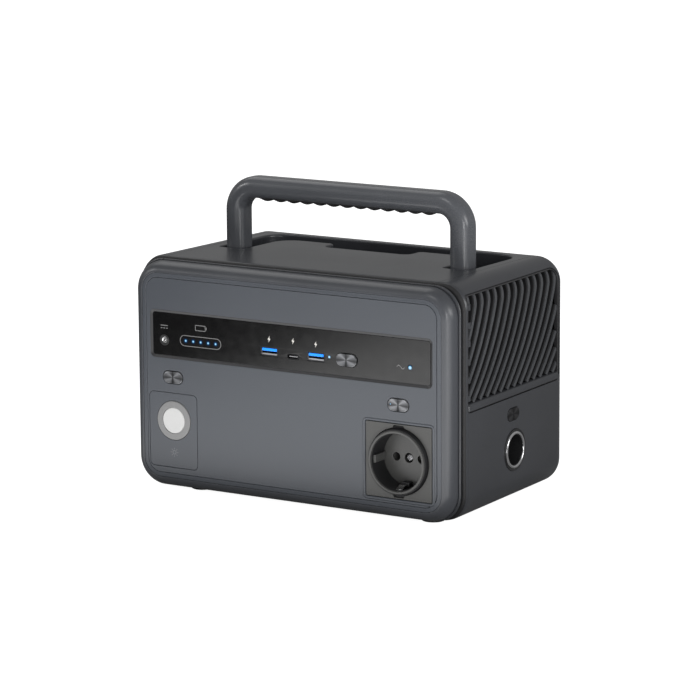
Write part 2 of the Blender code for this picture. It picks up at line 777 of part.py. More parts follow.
def build_usb_c(mat):
    front, back = WINDOW_FRONT_Y, WINDOW_FRONT_Y + PORT_DEPTH
    width, height = USB_C_SIZE
    outlines = [stadium(USB_C_CENTRE, width, height, 4), stadium(USB_C_CENTRE, width - 0.7, height - 0.7, 4)]
    prism("usb_c_shell", outlines, "Y", front, back, mat["steel"])
    x, z = USB_C_CENTRE
    box("usb_c_tongue", (x - 3.3, front + 0.8, z - 0.35), (x + 3.3, back, z + 0.35), mat["black"])


def build_lights(mat):
    prism("charge_light_guide", [stadium(CHARGE_GUIDE, 33.0, 9.4)], "Y", -74.0, -70.5, mat["indicator"])
    for name, centre, radius in (("usb", USB_INDICATOR, 1.2), ("ac", AC_INDICATOR, 1.9)):
        x, z = centre
        ends = ((x, WINDOW_FRONT_Y - 0.1, z), (x, -70.5, z))
        cylinder(f"{name}_indicator_lens", *ends, radius, mat["indicator"], steps=16)


def build_lamp(mat):
    x, z = LAMP
    flange, neck = LAMP_RING_RADIUS, LAMP_NECK_RADIUS
    inner = LAMP_LENS_RADIUS + 0.15
    profile = [
        (inner, 0.6),
        (flange - 0.6, 0.6),
        (flange, 0.0),
        (flange, -1.3),
        (neck, -1.3),
        (neck, -4.4),
        (inner, -4.4),
    ]
    turned("lamp_ring", profile, (x, FRONT_Y, z), "-Y", mat["ring"])
    radius = LAMP_LENS_RADIUS - 0.15
    lens = [(0, 0.4), (radius * 0.6, 0.25), (radius, -0.3), (radius, -2.6), (0, -2.6)]
    turned("lamp_lens", lens, (x, FRONT_Y, z), "-Y", mat["lens"])
    cylinder("lamp_board", (x, -69.6, z), (x, -71.2, z), 10.8, mat["board"])


# ---------------------------------------------------------------- mains outlet


def build_socket(mat):
    x, z = SOCKET
    collar = [
        (SOCKET_CUP_RADIUS, SOCKET_PROUD),
        (SOCKET_COLLAR_RADIUS, SOCKET_PROUD),
        (SOCKET_COLLAR_RADIUS, -16.0),
        (SOCKET_CUP_RADIUS, -16.0),
    ]
    plate_outlines = [
        rounded_rect(SOCKET, SOCKET_PLATE, SOCKET_PLATE, 0.8, 1),
        circle(SOCKET, SOCKET_CUP_RADIUS + 0.9, 32),
    ]
    plate = prism("socket_faceplate", plate_outlines, "Y", FRONT_Y + 0.1, PLATE_BACK_Y, mat["socket"])
    ring = turned("socket_collar", collar, (x, FRONT_Y, z), "-Y", None, 32)
    boolean(plate, ring, "UNION")
    for side in (-1, 1):
        edge = z + side * 24.2
        rim = z + side * 20.6
        notch = [(x - 3.2, edge), (x + 3.2, edge), (x + 4.6, rim), (x - 4.6, rim)]
        cutter = prism(f"earth_notch_{side}", [notch], "Y", FRONT_Y - 1, FRONT_Y + 1.0)
        boolean(plate, cutter)
    build_socket_insert(mat)


def build_socket_insert(mat):
    x, z = SOCKET
    disc = circle(SOCKET, SOCKET_CUP_RADIUS - GAP, 32)
    pins = [circle((x + side * SOCKET_PIN_SPACING / 2, z), 2.7, 20) for side in (-1, 1)]
    screw_hole = circle(SOCKET, 2.6, 16)
    outlines = [disc, *pins, screw_hole]
    insert = prism("socket_insert", outlines, "Y", SOCKET_FLOOR_Y, SOCKET_BACK_Y, mat["socket"])
    for side in (-1, 1):
        near, far = sorted(side * radius for radius in SOCKET_KEY_RADII)
        low = (x + near, FRONT_Y + 1.5, z - 2.6)
        high = (x + far, SOCKET_FLOOR_Y + 1, z + 2.6)
        key = box(f"socket_key_{side}", low, high)
        boolean(insert, key, "UNION")
    back = prism("socket_back", [circle(SOCKET, 17.0, 24)], "Y", SOCKET_BACK_Y - 2, SOCKET_BACK_Y + 1)
    boolean(insert, back, "UNION")
    for side, name in ((1, "top"), (-1, "bottom")):
        build_earth_clip(f"earth_clip_{name}", side, mat)
    profile = [(0, 1.3), (1.5, 1.3), (2.2, 0.7), (2.2, 0.0), (1.5, -0.3), (1.5, -11.0), (0, -11.0)]
    turned("socket_screw", profile, (x, SOCKET_FLOOR_Y + 1.5, z), "-Y", mat["chrome"], 16)


def build_earth_clip(name, side, mat):
    """A bent spring strip that stands off the cup's wall and bulges towards the plug."""
    x, z = SOCKET
    front, back = FRONT_Y + 0.5, SOCKET_FLOOR_Y - GAP
    bulge = [(front, 18.7), (front + 5.0, 17.0), (back - 1.5, 18.2), (back, 18.2)]
    face = [(y, z + side * height) for y, height in bulge]
    rear = [(y, z + side * (height - 0.6)) for y, height in bulge[::-1]]
    prism(name, [face + rear], "X", x - 2.6, x + 2.6, mat["brass"])


# ---------------------------------------------------------------- side grilles and car socket


def louvre_offset(z):
    """How far a louvre has leaned back at this height."""
    low, high = GRILLE_Z
    u = (z - low) / (high - low)
    return LOUVRE_SLOPE * (z - low) - 4.0 * (max(u - 0.75, 0) / 0.25) ** 2


def clip(points, limit, sign):
    """The part of a polygon where sign * y is at most sign * limit."""
    kept = []
    for here, there in zip(points, points[1:] + points[:1]):
        inside = sign * here[0] <= sign * limit
        if inside:
            kept.append(here)
        if inside != (sign * there[0] <= sign * limit):
            t = (limit - here[0]) / (there[0] - here[0])
            kept.append((limit, here[1] + t * (there[1] - here[1])))
    return kept


def louvre_slots():
    """Slanted slots as (y, z) outlines, cut off at the ends of the grille."""
    front, rear = GRILLE_Y[0] + GRILLE_RIM + 1.4, GRILLE_Y[1] - GRILLE_RIM - 1.4
    low, high = GRILLE_Z[0] + GRILLE_BAR_HEIGHT, GRILLE_Z[1] - GRILLE_RIM
    levels = [low + (high - low) * i / 5 for i in range(6)]
    slots = []
    for k in range(-9, 16):
        start = GRILLE_Y[0] + LOUVRE_PITCH * k
        front_edge = [(start + louvre_offset(z), z) for z in levels]
        rear_edge = [(start + LOUVRE_SLOT + louvre_offset(z), z) for z in levels[::-1]]
        outline = clip(clip(front_edge + rear_edge, rear, 1), front, -1)
        if len(outline) < 3:
            continue
        size = max(y for y, _ in outline) - min(y for y, _ in outline)
        if size > 2.0:
            slots.append(outline)
    return slots


def build_grille(name, side, mat):
    """A louvred panel set back from the shell, which follows its rounded shoulder at the top."""
    low, high = GRILLE_Z
    heights = [low] + [128.0 + (high - 128.0) * i / 6 for i in range(7)]
    rings = []
    for y in GRILLE_Y:
        face = [(grille_x(y, z, GRILLE_RECESS), z) for z in heights]
        back = [(grille_x(y, z, GRILLE_RECESS + 2.4), z) for z in heights[::-1]]
        rings.append([(side * x, y, z) for x, z in face + back])
    panel = loft(name, rings, mat["shell"])
    boolean(panel, grille_prism(name + "_outline", side, GAP), "INTERSECT")
    ends = sorted((side * 105.0, side * 130.0))
    boolean(panel, prism(name + "_slots", louvre_slots(), "X", *ends))


def grille_x(y, z, depth):
    """The x of a surface this far inside the shell, at this place."""
    radius = SHELL_RADIUS - depth
    rise = max(z - (shell_top(y) - SHELL_RADIUS), 0)
    return shell_half_width(y) - SHELL_RADIUS + math.sqrt(max(radius**2 - rise**2, 4.0))


def build_car_socket(mat):
    y, z = CAR_SOCKET
    place = (shell_half_width(y), y, z)
    bore, tube = CAR_BORE_RADIUS, CAR_BORE_RADIUS + 1.0
    barrel = [
        (bore, 2.0),
        (bore + 0.6, 2.4),
        (CAR_RING_RADIUS - 0.5, 2.4),
        (CAR_RING_RADIUS, 1.9),
        (CAR_RING_RADIUS, 1.4),
        (tube, 1.4),
        (tube, -38.0),
        (bore, -38.0),
    ]
    turned("car_socket_barrel", barrel, place, "X", mat["chrome"])
    collar = [
        (tube + 0.3, 1.1),
        (CAR_COLLAR_RADIUS - 0.5, 1.1),
        (CAR_COLLAR_RADIUS, 0.6),
        (CAR_COLLAR_RADIUS, 0.3),
        (tube + 0.3, 0.3),
    ]
    turned("car_socket_collar", collar, place, "X", mat["black"])
    contact = [(0, -34.0), (2.5, -35.0), (4.0, -37.0), (4.0, -40.5), (0, -40.5)]
    turned("car_socket_contact", contact, place, "X", mat["brass"], 16)


# ---------------------------------------------------------------- inside


def build_fan(mat):
    x, y, z = FAN_CENTRE
    half_depth = FAN_DEPTH / 2
    outlines = [rounded_rect((y, z), FAN_SIZE, FAN_SIZE, 4.0, 2), circle((y, z), 28.0)]
    frame = prism("fan_frame", outlines, "X", x - half_depth, x + half_depth, mat["black"])
    inner = x + half_depth - 2.0
    hub = cylinder("fan_hub_plate", (inner, y, z), (inner + 1.6, y, z), 11.0)
    boolean(frame, hub, "UNION")
    for i, size in enumerate(((58.0, 3.0), (3.0, 58.0))):
        low = (inner + 0.1, y - size[0] / 2, z - size[1] / 2)
        high = (inner + 1.5, y + size[0] / 2, z + size[1] / 2)
        boolean(frame, box(f"fan_strut_{i}", low, high), "UNION")
    rotor = cylinder("fan_rotor", (x - 6.5, y, z), (inner - 0.6, y, z), 11.5, mat["black"])
    for i in range(FAN_BLADES):
        blade = box(f"fan_blade_{i}", (-0.6, -5.0, 8.0), (0.6, 5.0, 26.3))
        twist = Matrix.Rotation(math.radians(52), 4, "Z")
        spin = Matrix.Rotation(2 * math.pi * i / FAN_BLADES, 4, "X")
        place = Matrix.Translation(Vector((x - 1.2, y, z)) * MM)
        blade.data.transform(place @ spin @ twist)
        boolean(rotor, blade, "UNION")
    set_origin(rotor, FAN_CENTRE)


def build_battery(mat):
    length, thick, height = CELL_SIZE
    for i in range(4):
        y = CELL_FIRST_Y + i * (thick + 0.5)
        low = (CELL_X - length / 2, y - thick / 2, CELL_Z)
        high = (CELL_X + length / 2, y + thick / 2, CELL_Z + height)
        box(f"battery_cell_{i + 1}", low, high, mat["cell"], bevel=1.5)
    first, last = CELL_FIRST_Y - thick / 2, CELL_FIRST_Y + 3.5 * thick + 1.5
    middle = (CELL_X, (first + last) / 2)
    outer = rounded_rect(middle, length + 5.0, last - first + 5.0, 3.0, 2)
    inner = rounded_rect(middle, length + 1.0, last - first + 1.0, 1.0, 1)
    tray = prism("battery_tray", [outer], "Z", 6.1, 8.2, mat["black"])
    boolean(tray, prism("tray_walls", [outer, inner], "Z", 7.0, 20.0), "UNION")


def heatsink_section():
    """A flat base with upright fins, as (x, z)."""
    left, right, bottom, base_top, fin_top = 10.0, 66.0, 106.0, 109.0, 133.0
    pitch, thick = 6.0, 2.0
    section = [(left, bottom), (right, bottom)]
    edge = right
    while edge - thick > left:
        section += [(edge, fin_top), (edge - thick, fin_top), (edge - thick, base_top)]
        edge -= pitch
        section.append((edge, base_top))
    section[-1] = (left, base_top)
    return section


def build_electronics(mat):
    board = mat["board"]
    box("bms_board", (51.5, -48.0, 12.0), (53.1, 50.0, 96.0), board)
    box("inverter_board", (-96.0, -55.0, 104.0), (72.0, 62.0, 105.6), board)
    box("inverter_transformer", (-60.0, -38.0, 106.0), (-24.0, -4.0, 132.0), mat["steel"], bevel=2.0)
    prism("inverter_heatsink", [heatsink_section()], "Y", -42.0, 30.0, mat["aluminium"])
    box("usb_board", (-40.0, -62.8, 94.0), (60.0, -61.2, 121.0), board)


# ---------------------------------------------------------------- assembly


def main():
    global parts, cutters
    clear_scene()
    parts = new_collection(COLLECTION_NAME)
    cutters = new_collection("cutters")
    mat = make_materials()
    build_front_cover(mat)
    build_face_plate(mat)
    build_window(mat)
    build_shell("left_shell", -1, mat)
    right = build_shell("right_shell", 1, mat)
    build_right_side_holes(right)
    build_top_cover(mat)
    build_bottom_cover(mat)
    build_rear_cover(mat)
    build_feet(mat)
    build_handle(mat)
    build_front_button("light_button", LIGHT_BUTTON, mat)
    build_front_button("ac_button", AC_BUTTON, mat)
    build_front_button("usb_button", USB_BUTTON, mat)
    build_car_button(mat)
    build_dc_jack(mat)
    for side, centre in USB_A_CENTRES.items():
        build_usb_a(side, centre, mat)
    build_usb_c(mat)
    build_lights(mat)
    build_lamp(mat)
    build_socket(mat)
    build_grille("vent_grille_right", 1, mat)
    build_grille("vent_grille_left", -1, mat)
    build_car_socket(mat)
    build_fan(mat)
    build_battery(mat)
    build_electronics(mat)


main()
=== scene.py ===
"""Looks of the portable power station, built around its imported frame.

Lengths in the builders are millimetres in the frame's own axes: +X right, -Y front, +Z up.
"""

from math import acos, asin, cos, pi, radians, sin, sqrt, tan

import bmesh
import bpy
from mathutils import Matrix, Vector


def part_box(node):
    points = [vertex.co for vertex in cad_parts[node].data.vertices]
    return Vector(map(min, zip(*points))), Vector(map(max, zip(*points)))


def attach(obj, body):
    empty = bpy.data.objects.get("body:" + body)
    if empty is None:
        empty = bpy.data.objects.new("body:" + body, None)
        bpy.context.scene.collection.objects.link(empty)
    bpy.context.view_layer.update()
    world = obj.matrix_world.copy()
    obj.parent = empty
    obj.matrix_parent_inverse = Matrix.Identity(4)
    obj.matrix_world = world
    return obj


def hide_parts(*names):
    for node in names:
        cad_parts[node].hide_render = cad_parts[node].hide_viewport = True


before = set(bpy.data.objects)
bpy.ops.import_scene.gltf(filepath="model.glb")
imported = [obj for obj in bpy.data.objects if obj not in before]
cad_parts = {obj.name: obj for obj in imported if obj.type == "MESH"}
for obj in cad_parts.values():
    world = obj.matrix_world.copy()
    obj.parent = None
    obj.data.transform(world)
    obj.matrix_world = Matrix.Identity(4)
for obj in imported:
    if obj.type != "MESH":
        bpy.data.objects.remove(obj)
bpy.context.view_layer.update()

MM = 0.001
CASE = "case"
AMBIENT = 0.34


def show(obj):
    bpy.context.scene.collection.objects.link(obj)


def front_of(node):
    """The middle of a node as (x, z), as seen from the front."""
    centre = middle(node)
    return (centre.x, centre.z)


def low(node):
    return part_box(node)[0] / MM


def high(node):
    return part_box(node)[1] / MM


def middle(node):
    return (low(node) + high(node)) / 2


# Sizes that the frame gives
HALF_WIDTH = high("front_cover").x
TOP_Z = high("front_cover").z
BASE_Z = low("front_cover").z
MIDDLE_Z = (TOP_Z + BASE_Z) / 2
FRONT_Y = low("front_cover").y
FRONT_SEAM_Y = high("front_cover").y
REAR_SEAM_Y = low("rear_cover").y
REAR_Y = high("rear_cover").y
SHELL_BASE_Z = low("bottom_cover").z
SEAM_X = high("top_cover").x
PLATE_BACK_Y = high("face_plate").y
GLASS_Y = FRONT_Y + 0.75
PORT_Y = FRONT_Y + 0.7
WINDOW_LOW, WINDOW_HIGH = low("display_window"), high("display_window")
SOCKET = middle("socket_faceplate")
COLLAR_Y = low("socket_faceplate").y
SOCKET_FLOOR_Y = -62.8
LAMP = middle("lamp_ring")
CAR_SOCKET = middle("car_socket_collar")
PIVOT = middle("pivot_pin_left")
BAR_TOP_Z = high("handle").z
CHANNEL_FLOOR_Z = low("top_cover").z + 2.5
GRILLE_LOW, GRILLE_HIGH = low("vent_grille_right"), high("vent_grille_right")

# Sizes of the mouldings
CORNER_RADIUS = 20.0
BEZEL_BORDER = 6.95
WALL = 2.5
LEG_X = 89.0
SECTION = (15.0, 18.0, 6.4)
BEND_RADIUS = 16.5
SHELL_RADIUS = 17.5
GRILLE_FRONT_Y = -59.2
SHELL_FRONT_Y = -58.0
SHELL_HALF_WIDTHS = (127.6, 125.4)
SHELL_TOPS = (159.6, 158.3)
REAR_ROUNDING = 11.5
ROUNDING_Y = REAR_Y - REAR_ROUNDING
BUTTON_SIZE = (16.0, 8.5)
BUTTON_GAP = 0.35
PANEL_LINE = 0.32
LOUVRE_PITCH = 9.35
LOUVRE_OFFSET = 6.9
PIN_SPACING = 19.0
LIGHT_PITCH = 6.05
BACKING_Y = (-74.2, -71.8)


# The camera, and the studio lights as (name, place, aim, size, power), in metres and watts
CAMERA_ANGLES = (31.738, 11.077, 0.375)
CAMERA_TARGET = (0.00204, -0.001, 0.09464)
CAMERA_DISTANCE = 2.29754
CAMERA_LENS = 173.6
STUDIO_LIGHTS = (
    ("floor_card", (0.43, -0.445, 0.004), (0.43, -0.4449, 1.0), (1.34, 0.67), 6.5),
    ("key", (-2.4, -1.9, 1.2), (0, 0, 0.08), (0.8, 0.8), 14.0),
    ("front_high", (-0.3, -1.8, 2.0), (0, 0, 0.1), (0.8, 0.8), 8.0),
    ("front_right", (1.3, -1.05, 0.16), (0.1, 0, 0.12), (0.16, 0.7), 8.0),
    ("side", (2.6, -0.1, 0.9), (0, 0, 0.08), (1.2, 1.0), 24.0),
    ("overhead", (-1.0, 0.5, 1.7), (0, 0, 0.1), (1.2, 1.2), 6.0),
)

# ---- materials


class Graph:
    """A short way to write a material's nodes."""

    def __init__(self, name):
        self.material = bpy.data.materials.new(name)
        self.material.use_nodes = True
        self.tree = self.material.node_tree
        self.shader = self.tree.nodes["Principled BSDF"]
        self.place = self.add("ShaderNodeTexCoord").outputs["Object"]

    def add(self, kind, inputs=(), **settings):
        node = self.tree.nodes.new(kind)
        for key, value in settings.items():
            setattr(node, key, value)
        for key, value in dict(inputs).items():
            self.feed(node.inputs[key], value)
        return node

    def link(self, source, target):
        self.tree.links.new(source, target)

    def feed(self, socket, value):
        if isinstance(value, bpy.types.NodeSocket):
            self.link(value, socket)
        else:
            socket.default_value = value

    def math(self, operation, *values):
        return self.add("ShaderNodeMath", enumerate(values), operation=operation).outputs[0]

    def noise(self, scale, detail=2.0, stretch=None):
        place = self.place
        if stretch:
            place = self.add("ShaderNodeMapping", {"Scale": stretch, "Vector": place}).outputs["Vector"]
        inputs = {"Scale": scale, "Detail": detail, "Vector": place}
        return self.add("ShaderNodeTexNoise", inputs).outputs["Fac"]

    def between(self, value, start, end, to_start, to_end):
        inputs = {"From Min": start, "From Max": end, "To Min": to_start, "To Max": to_end, "Value": value}
        return self.add("ShaderNodeMapRange", inputs).outputs["Result"]

    def ramp(self, value, stops):
        node = self.add("ShaderNodeValToRGB")
        elements = node.color_ramp.elements
        while len(elements) < len(stops):
            elements.new(0.5)
        for element, (position, colour) in zip(elements, stops):
            element.position = position
            element.color = (*colour, 1.0)
        self.link(value, node.inputs["Fac"])
        return node.outputs["Color"]

    def split(self):
        node = self.add("ShaderNodeSeparateXYZ")
        self.link(self.place, node.inputs["Vector"])
        return node.outputs

    def set(self, **values):
        names = {
            "colour": "Base Color", "rough": "Roughness", "metal": "Metallic",
            "specular": "Specular IOR Level", "glow": "Emission Color", "glow_power": "Emission Strength",
        }
        for key, value in values.items():
            socket = self.shader.inputs[names[key]]
            if isinstance(value, tuple) and len(value) == 3:
                value = (*value, 1.0)
            self.feed(socket, value)

    def bump(self, height, strength, distance):
        inputs = {"Strength": strength, "Distance": distance, "Height": height}
        self.feed(self.shader.inputs["Normal"], self.add("ShaderNodeBump", inputs).outputs["Normal"])


def tinted(colour, share):
    return tuple(min(channel * share, 1.0) for channel in colour)


def plastic(name, colour, rough, grain=0.12, grain_size=0.00045, variation=0.1, **more):
    """Moulded plastic: a spark-eroded grain, slow changes of shade, and rubbed spots in its gloss."""
    g = Graph(name)
    fine = g.noise(1.0 / grain_size, 3.0)
    slow = g.noise(14.0, 3.0)
    shades = [(0.0, tinted(colour, 1 - variation)), (1.0, tinted(colour, 1 + variation))]
    g.set(colour=g.ramp(g.between(slow, 0.3, 0.7, 0.0, 1.0), shades))
    rubbed = g.math("ADD", g.between(slow, 0.3, 0.7, -0.025, 0.025), g.between(fine, 0.3, 0.7, -0.03, 0.03))
    g.set(rough=g.math("ADD", rubbed, rough), **more)
    g.bump(fine, grain, grain_size * 0.25)
    return g.material


def metal(name, colour, rough, stretch=None):
    """Metal with fine drawing marks and uneven gloss."""
    g = Graph(name)
    marks = g.noise(900.0, 3.0, stretch)
    slow = g.noise(60.0, 2.0)
    g.set(colour=g.ramp(slow, [(0.3, tinted(colour, 0.9)), (0.7, tinted(colour, 1.06))]), metal=1.0)
    g.set(rough=g.between(marks, 0.25, 0.75, rough * 0.75, rough * 1.3))
    g.bump(marks, 0.06, 0.00005)
    return g.material


def sunburst(name, centre, across, colour):
    """A button face turned on a lathe in two lobes. Its fine rays are in the bump and gloss; its colour
    carries a painted reflection, bright and dark rays that meet at its middle, with painted shade along the
    centre line.
    """
    g = Graph(name)
    x, y, z = g.split()
    along = x if across == "X" else y
    u = g.math("SUBTRACT", along, centre[0] * MM)
    v = g.math("SUBTRACT", z, centre[1] * MM)
    angle = g.math("ARCTAN2", g.math("MULTIPLY", v, 1.7), g.math("ABSOLUTE", u))
    # Painted reflection: the colour brightens and darkens with the angle round the middle, as lights would
    # reflect in a spun face.
    reflection_rays = g.math("SINE", g.math("MULTIPLY", angle, 9.0))
    wide = g.math("COSINE", g.math("MULTIPLY", angle, 4.0))
    fine = g.math("SINE", g.math("MULTIPLY", angle, 71.0))
    sum_of = g.math("ADD", g.math("MULTIPLY", reflection_rays, 0.07), g.math("MULTIPLY", wide, -0.30))
    light = g.math("ADD", g.math("ADD", sum_of, g.math("MULTIPLY", fine, 0.05)), 0.5)
    # Painted shade: the colour darkens towards the centre line.
    painted_centre_shade = g.between(g.math("ABSOLUTE", u), 0.0001, 0.0007, 0.25, 1.0)
    light = g.math("MULTIPLY", light, painted_centre_shade)
    g.set(
        colour=g.ramp(light, [(0.05, tinted(colour, 0.12)), (0.5, colour), (0.95, tinted(colour, 2.1))]),
        rough=g.between(fine, -1.0, 1.0, 0.3, 0.42),
        metal=0.75,
    )
    g.bump(fine, 0.1, 0.00004)
    return g.material


def glow_spot(name):
    """A small light whose glow is brightest in its middle."""
    g = Graph(name)
    level = g.add("ShaderNodeAttribute", attribute_name="glow").outputs["Fac"]
    stops = [
        (0.0, (0.0, 0.0, 0.0)),
        (0.35, (0.0, 0.012, 0.04)),
        (0.6, (0.0, 0.09, 0.26)),
        (0.78, (0.22, 0.62, 0.95)),
        (1.0, (0.85, 0.97, 1.0)),
    ]
    g.set(colour=(0.006, 0.006, 0.008), rough=0.15, glow=g.ramp(level, stops), glow_power=1.0)
    return g.material


def window_material():
    g = Graph("black_acrylic")
    dust = g.noise(160.0, 4.0)
    slow = g.noise(9.0, 2.0)
    g.set(
        colour=g.ramp(slow, [(0.3, (0.0030, 0.0030, 0.0032)), (0.7, (0.0040, 0.0040, 0.0042))]),
        rough=g.between(dust, 0.35, 0.75, 0.18, 0.24),
        specular=0.5,
    )
    return g.material


def make_materials():
    smooth = {"grain": 0.05, "variation": 0.03}
    print_ink = {"grain": 0.05}
    soft = {"grain": 0.1, "variation": 0.04}
    frost = {"grain": 0.2, "grain_size": 0.0009, "variation": 0.02}
    # The blue USB tongues glow a little though they are no lamp: painted light.
    painted_glow = {"glow": (0.0, 0.12, 0.7), "glow_power": 0.55, "variation": 0.04}
    plastics = {
        "shell": ("charcoal_plastic", (0.035, 0.037, 0.042), 0.31, {}),
        "bezel": ("bezel_plastic", (0.048, 0.051, 0.058), 0.33, {}),
        "handle": ("handle_plastic", (0.080, 0.084, 0.093), 0.25, {"grain": 0.1}),
        "frame": ("window_frame_plastic", (0.016, 0.016, 0.018), 0.42, {}),
        "grille": ("louvre_plastic", (0.024, 0.024, 0.026), 0.38, {}),
        # The grille ribs are lighter than the shell and the grille rim: a painted highlight on them.
        "rib": ("rib_plastic", (0.050, 0.052, 0.057), 0.34, {}),
        # Near black, also used for pieces that paint shade: the seam strip, the socket's skirt and cup
        # liner, and the fins between the grille ribs and the wall behind them.
        "dark": ("duct_plastic", (0.006, 0.006, 0.007), 0.6, {}),
        "plate": ("blue_grey_panel", (0.056, 0.062, 0.073), 0.42, {"grain": 0.08, "variation": 0.03}),
        "rubber": ("black_rubber", (0.014, 0.014, 0.015), 0.72, {"grain": 0.3, "grain_size": 0.0007}),
        "black": ("black_plastic", (0.012, 0.012, 0.013), 0.45, {}),
        "socket": ("warm_grey_plastic", (0.046, 0.046, 0.044), 0.42, soft),
        # A lighter copy of the socket plastic for the cup's floor and keys: painted light on them.
        "cup": ("dark_grey_plastic", (0.062, 0.062, 0.060), 0.36, soft),
        "ring": ("lamp_ring_plastic", (0.19, 0.19, 0.19), 0.4, smooth),
        "lens": ("frosted_lens", (0.52, 0.52, 0.515), 0.5, frost),
        "blue": ("blue_plastic", (0.0, 0.26, 1.0), 0.35, painted_glow),
        "board": ("green_board", (0.008, 0.075, 0.035), 0.45, {}),
        "cell": ("cell_wrap", (0.015, 0.09, 0.28), 0.35, {}),
        "print": ("grey_print", (0.15, 0.15, 0.15), 0.6, print_ink),
        "bright_print": ("white_print", (0.62, 0.60, 0.56), 0.6, print_ink),
        "faint_print": ("faint_print", (0.17, 0.175, 0.19), 0.6, print_ink),
    }
    metals = {
        "chrome": (0.70, 0.70, 0.71, 0.13, None),
        "steel": (0.34, 0.34, 0.35, 0.40, (1.0, 0.15, 1.0)),
        "dark_steel": (0.045, 0.045, 0.048, 0.4, None),
        "bright_steel": (0.80, 0.80, 0.80, 0.24, None),
        "brass": (0.60, 0.47, 0.22, 0.26, None),
        "aluminium": (0.55, 0.55, 0.57, 0.34, (1.0, 0.1, 1.0)),
    }
    made = {key: plastic(*values, **more) for key, (*values, more) in plastics.items()}
    made |= {key: metal(key, colour, rough, stretch) for key, (*colour, rough, stretch) in metals.items()}
    return made | {"window": window_material(), "glow": glow_spot("indicator_light")}


M = make_materials()


# ---- outlines, as lists of 2D points


def rounded_polygon(corners, radii, steps=8):
    """The polygon with each corner replaced by an arc that touches both of its sides."""
    points = []
    count = len(corners)
    for i, (corner, radius) in enumerate(zip(corners, radii)):
        here = Vector(corner)
        before = (Vector(corners[i - 1]) - here).normalized()
        after = (Vector(corners[(i + 1) % count]) - here).normalized()
        radius = max(radius, 0.02)
        half = before.angle(after) / 2
        centre = here + (before + after).normalized() * (radius / sin(half))
        start = here + before * (radius / tan(half)) - centre
        end = here + after * (radius / tan(half)) - centre
        turn = start.angle_signed(end)
        for step in range(steps + 1):
            spoke = Matrix.Rotation(-turn * step / steps, 2) @ start
            points.append(tuple(centre + spoke))
    return points


def rounded_rect(centre, width, height, radius, steps=8):
    u, v = centre
    w, h = width / 2, height / 2
    corners = [(u - w, v - h), (u + w, v - h), (u + w, v + h), (u - w, v + h)]
    return rounded_polygon(corners, [radius] * 4, steps)


def stadium(centre, width, height, steps=12):
    return rounded_rect(centre, width, height, height * 0.4995, steps)


def circle(centre, radius, steps=48):
    turns = [2 * pi * (i + 0.5) / steps for i in range(steps)]
    return [(centre[0] + radius * cos(a), centre[1] + radius * sin(a)) for a in turns]


def case_outline(inset, steps=18):
    """The case's cross-section, this far inside the bezel's outer edge."""
    size = (2 * (HALF_WIDTH - inset), TOP_Z - BASE_Z - 2 * inset)
    return rounded_rect((0, MIDDLE_Z), *size, CORNER_RADIUS - inset, steps)


def along_shell(y, ends):
    """A size that changes evenly from the front of the shell to where its rear rounds off."""
    return ends[0] + (ends[1] - ends[0]) * (y - SHELL_FRONT_Y) / (ROUNDING_Y - SHELL_FRONT_Y)


def rounding_inset(y):
    along = min(max(y - ROUNDING_Y, 0.0), REAR_ROUNDING)
    return REAR_ROUNDING - sqrt(REAR_ROUNDING**2 - along**2)


def rear_outline(inset, steps=20):
    """The shell's outline at the rear, this far inside its widest part."""
    half_width, top = SHELL_HALF_WIDTHS[1] - inset, SHELL_TOPS[1] - inset
    bottom = SHELL_BASE_Z + inset
    size = (2 * half_width, top - bottom)
    return rounded_rect((0, (top + bottom) / 2), *size, SHELL_RADIUS - inset, steps)


def subdivided(outline, corner_points, count):
    """The outline with this many pieces along each straight side between its rounded corners."""
    points = []
    for i, (here, there) in enumerate(zip(outline, outline[1:] + outline[:1])):
        pieces = count if (i + 1) % corner_points == 0 else 1
        for k in range(pieces):
            t = k / pieces
            points.append((here[0] + (there[0] - here[0]) * t, here[1] + (there[1] - here[1]) * t))
    return points


# ---- solids


def finish_mesh(bm, name, material, angle=38.0):
    """Turns a millimetre mesh into an object in metres, outward, with its round faces smooth."""
    bmesh.ops.remove_doubles(bm, verts=bm.verts, dist=0.0005)
    bmesh.ops.recalc_face_normals(bm, faces=bm.faces)
    bmesh.ops.scale(bm, vec=(MM, MM, MM), verts=bm.verts)
    mesh = bpy.data.meshes.new(name)
    bm.to_mesh(mesh)
    bm.free()
    obj = bpy.data.objects.new(name, mesh)
    show(obj)
    mesh.materials.append(M[material])
    smooth(obj, angle)
    return obj


def evaluated_mesh(obj):
    bpy.context.view_layer.update()
    graph = bpy.context.evaluated_depsgraph_get()
    return bpy.data.meshes.new_from_object(obj.evaluated_get(graph))


def smooth(obj, angle):
    """Smooth shading up to this angle, led by the large flat faces so that their edges don't bend it."""
    obj.data.shade_smooth()
    obj.data.set_sharp_from_angle(angle=radians(angle))
    modifier = obj.modifiers.new("normals", "WEIGHTED_NORMAL")
    modifier.keep_sharp = True
    modifier.weight = 80
    mesh = evaluated_mesh(obj)
    obj.modifiers.clear()
    obj.data = mesh


def placed(obj, body=CASE, node=None):
    """Rides on a body, and takes the place of the CAD node of its own name if there is one."""
    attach(obj, body)
    node = node or obj.name.split(".")[0]
    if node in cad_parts:
        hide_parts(node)


def add_rings(bm, rings, closed=False, caps=True):
    rows = [[bm.verts.new(point) for point in ring] for ring in rings]
    pairs = list(zip(rows, rows[1:])) + ([(rows[-1], rows[0])] if closed else [])
    for first, second in pairs:
        for i in range(len(first)):
            j = (i + 1) % len(first)
            bm.faces.new((first[i], first[j], second[j], second[i]))
    if caps and not closed:
        bm.faces.new(rows[0][::-1])
        bm.faces.new(rows[-1])
    return rows


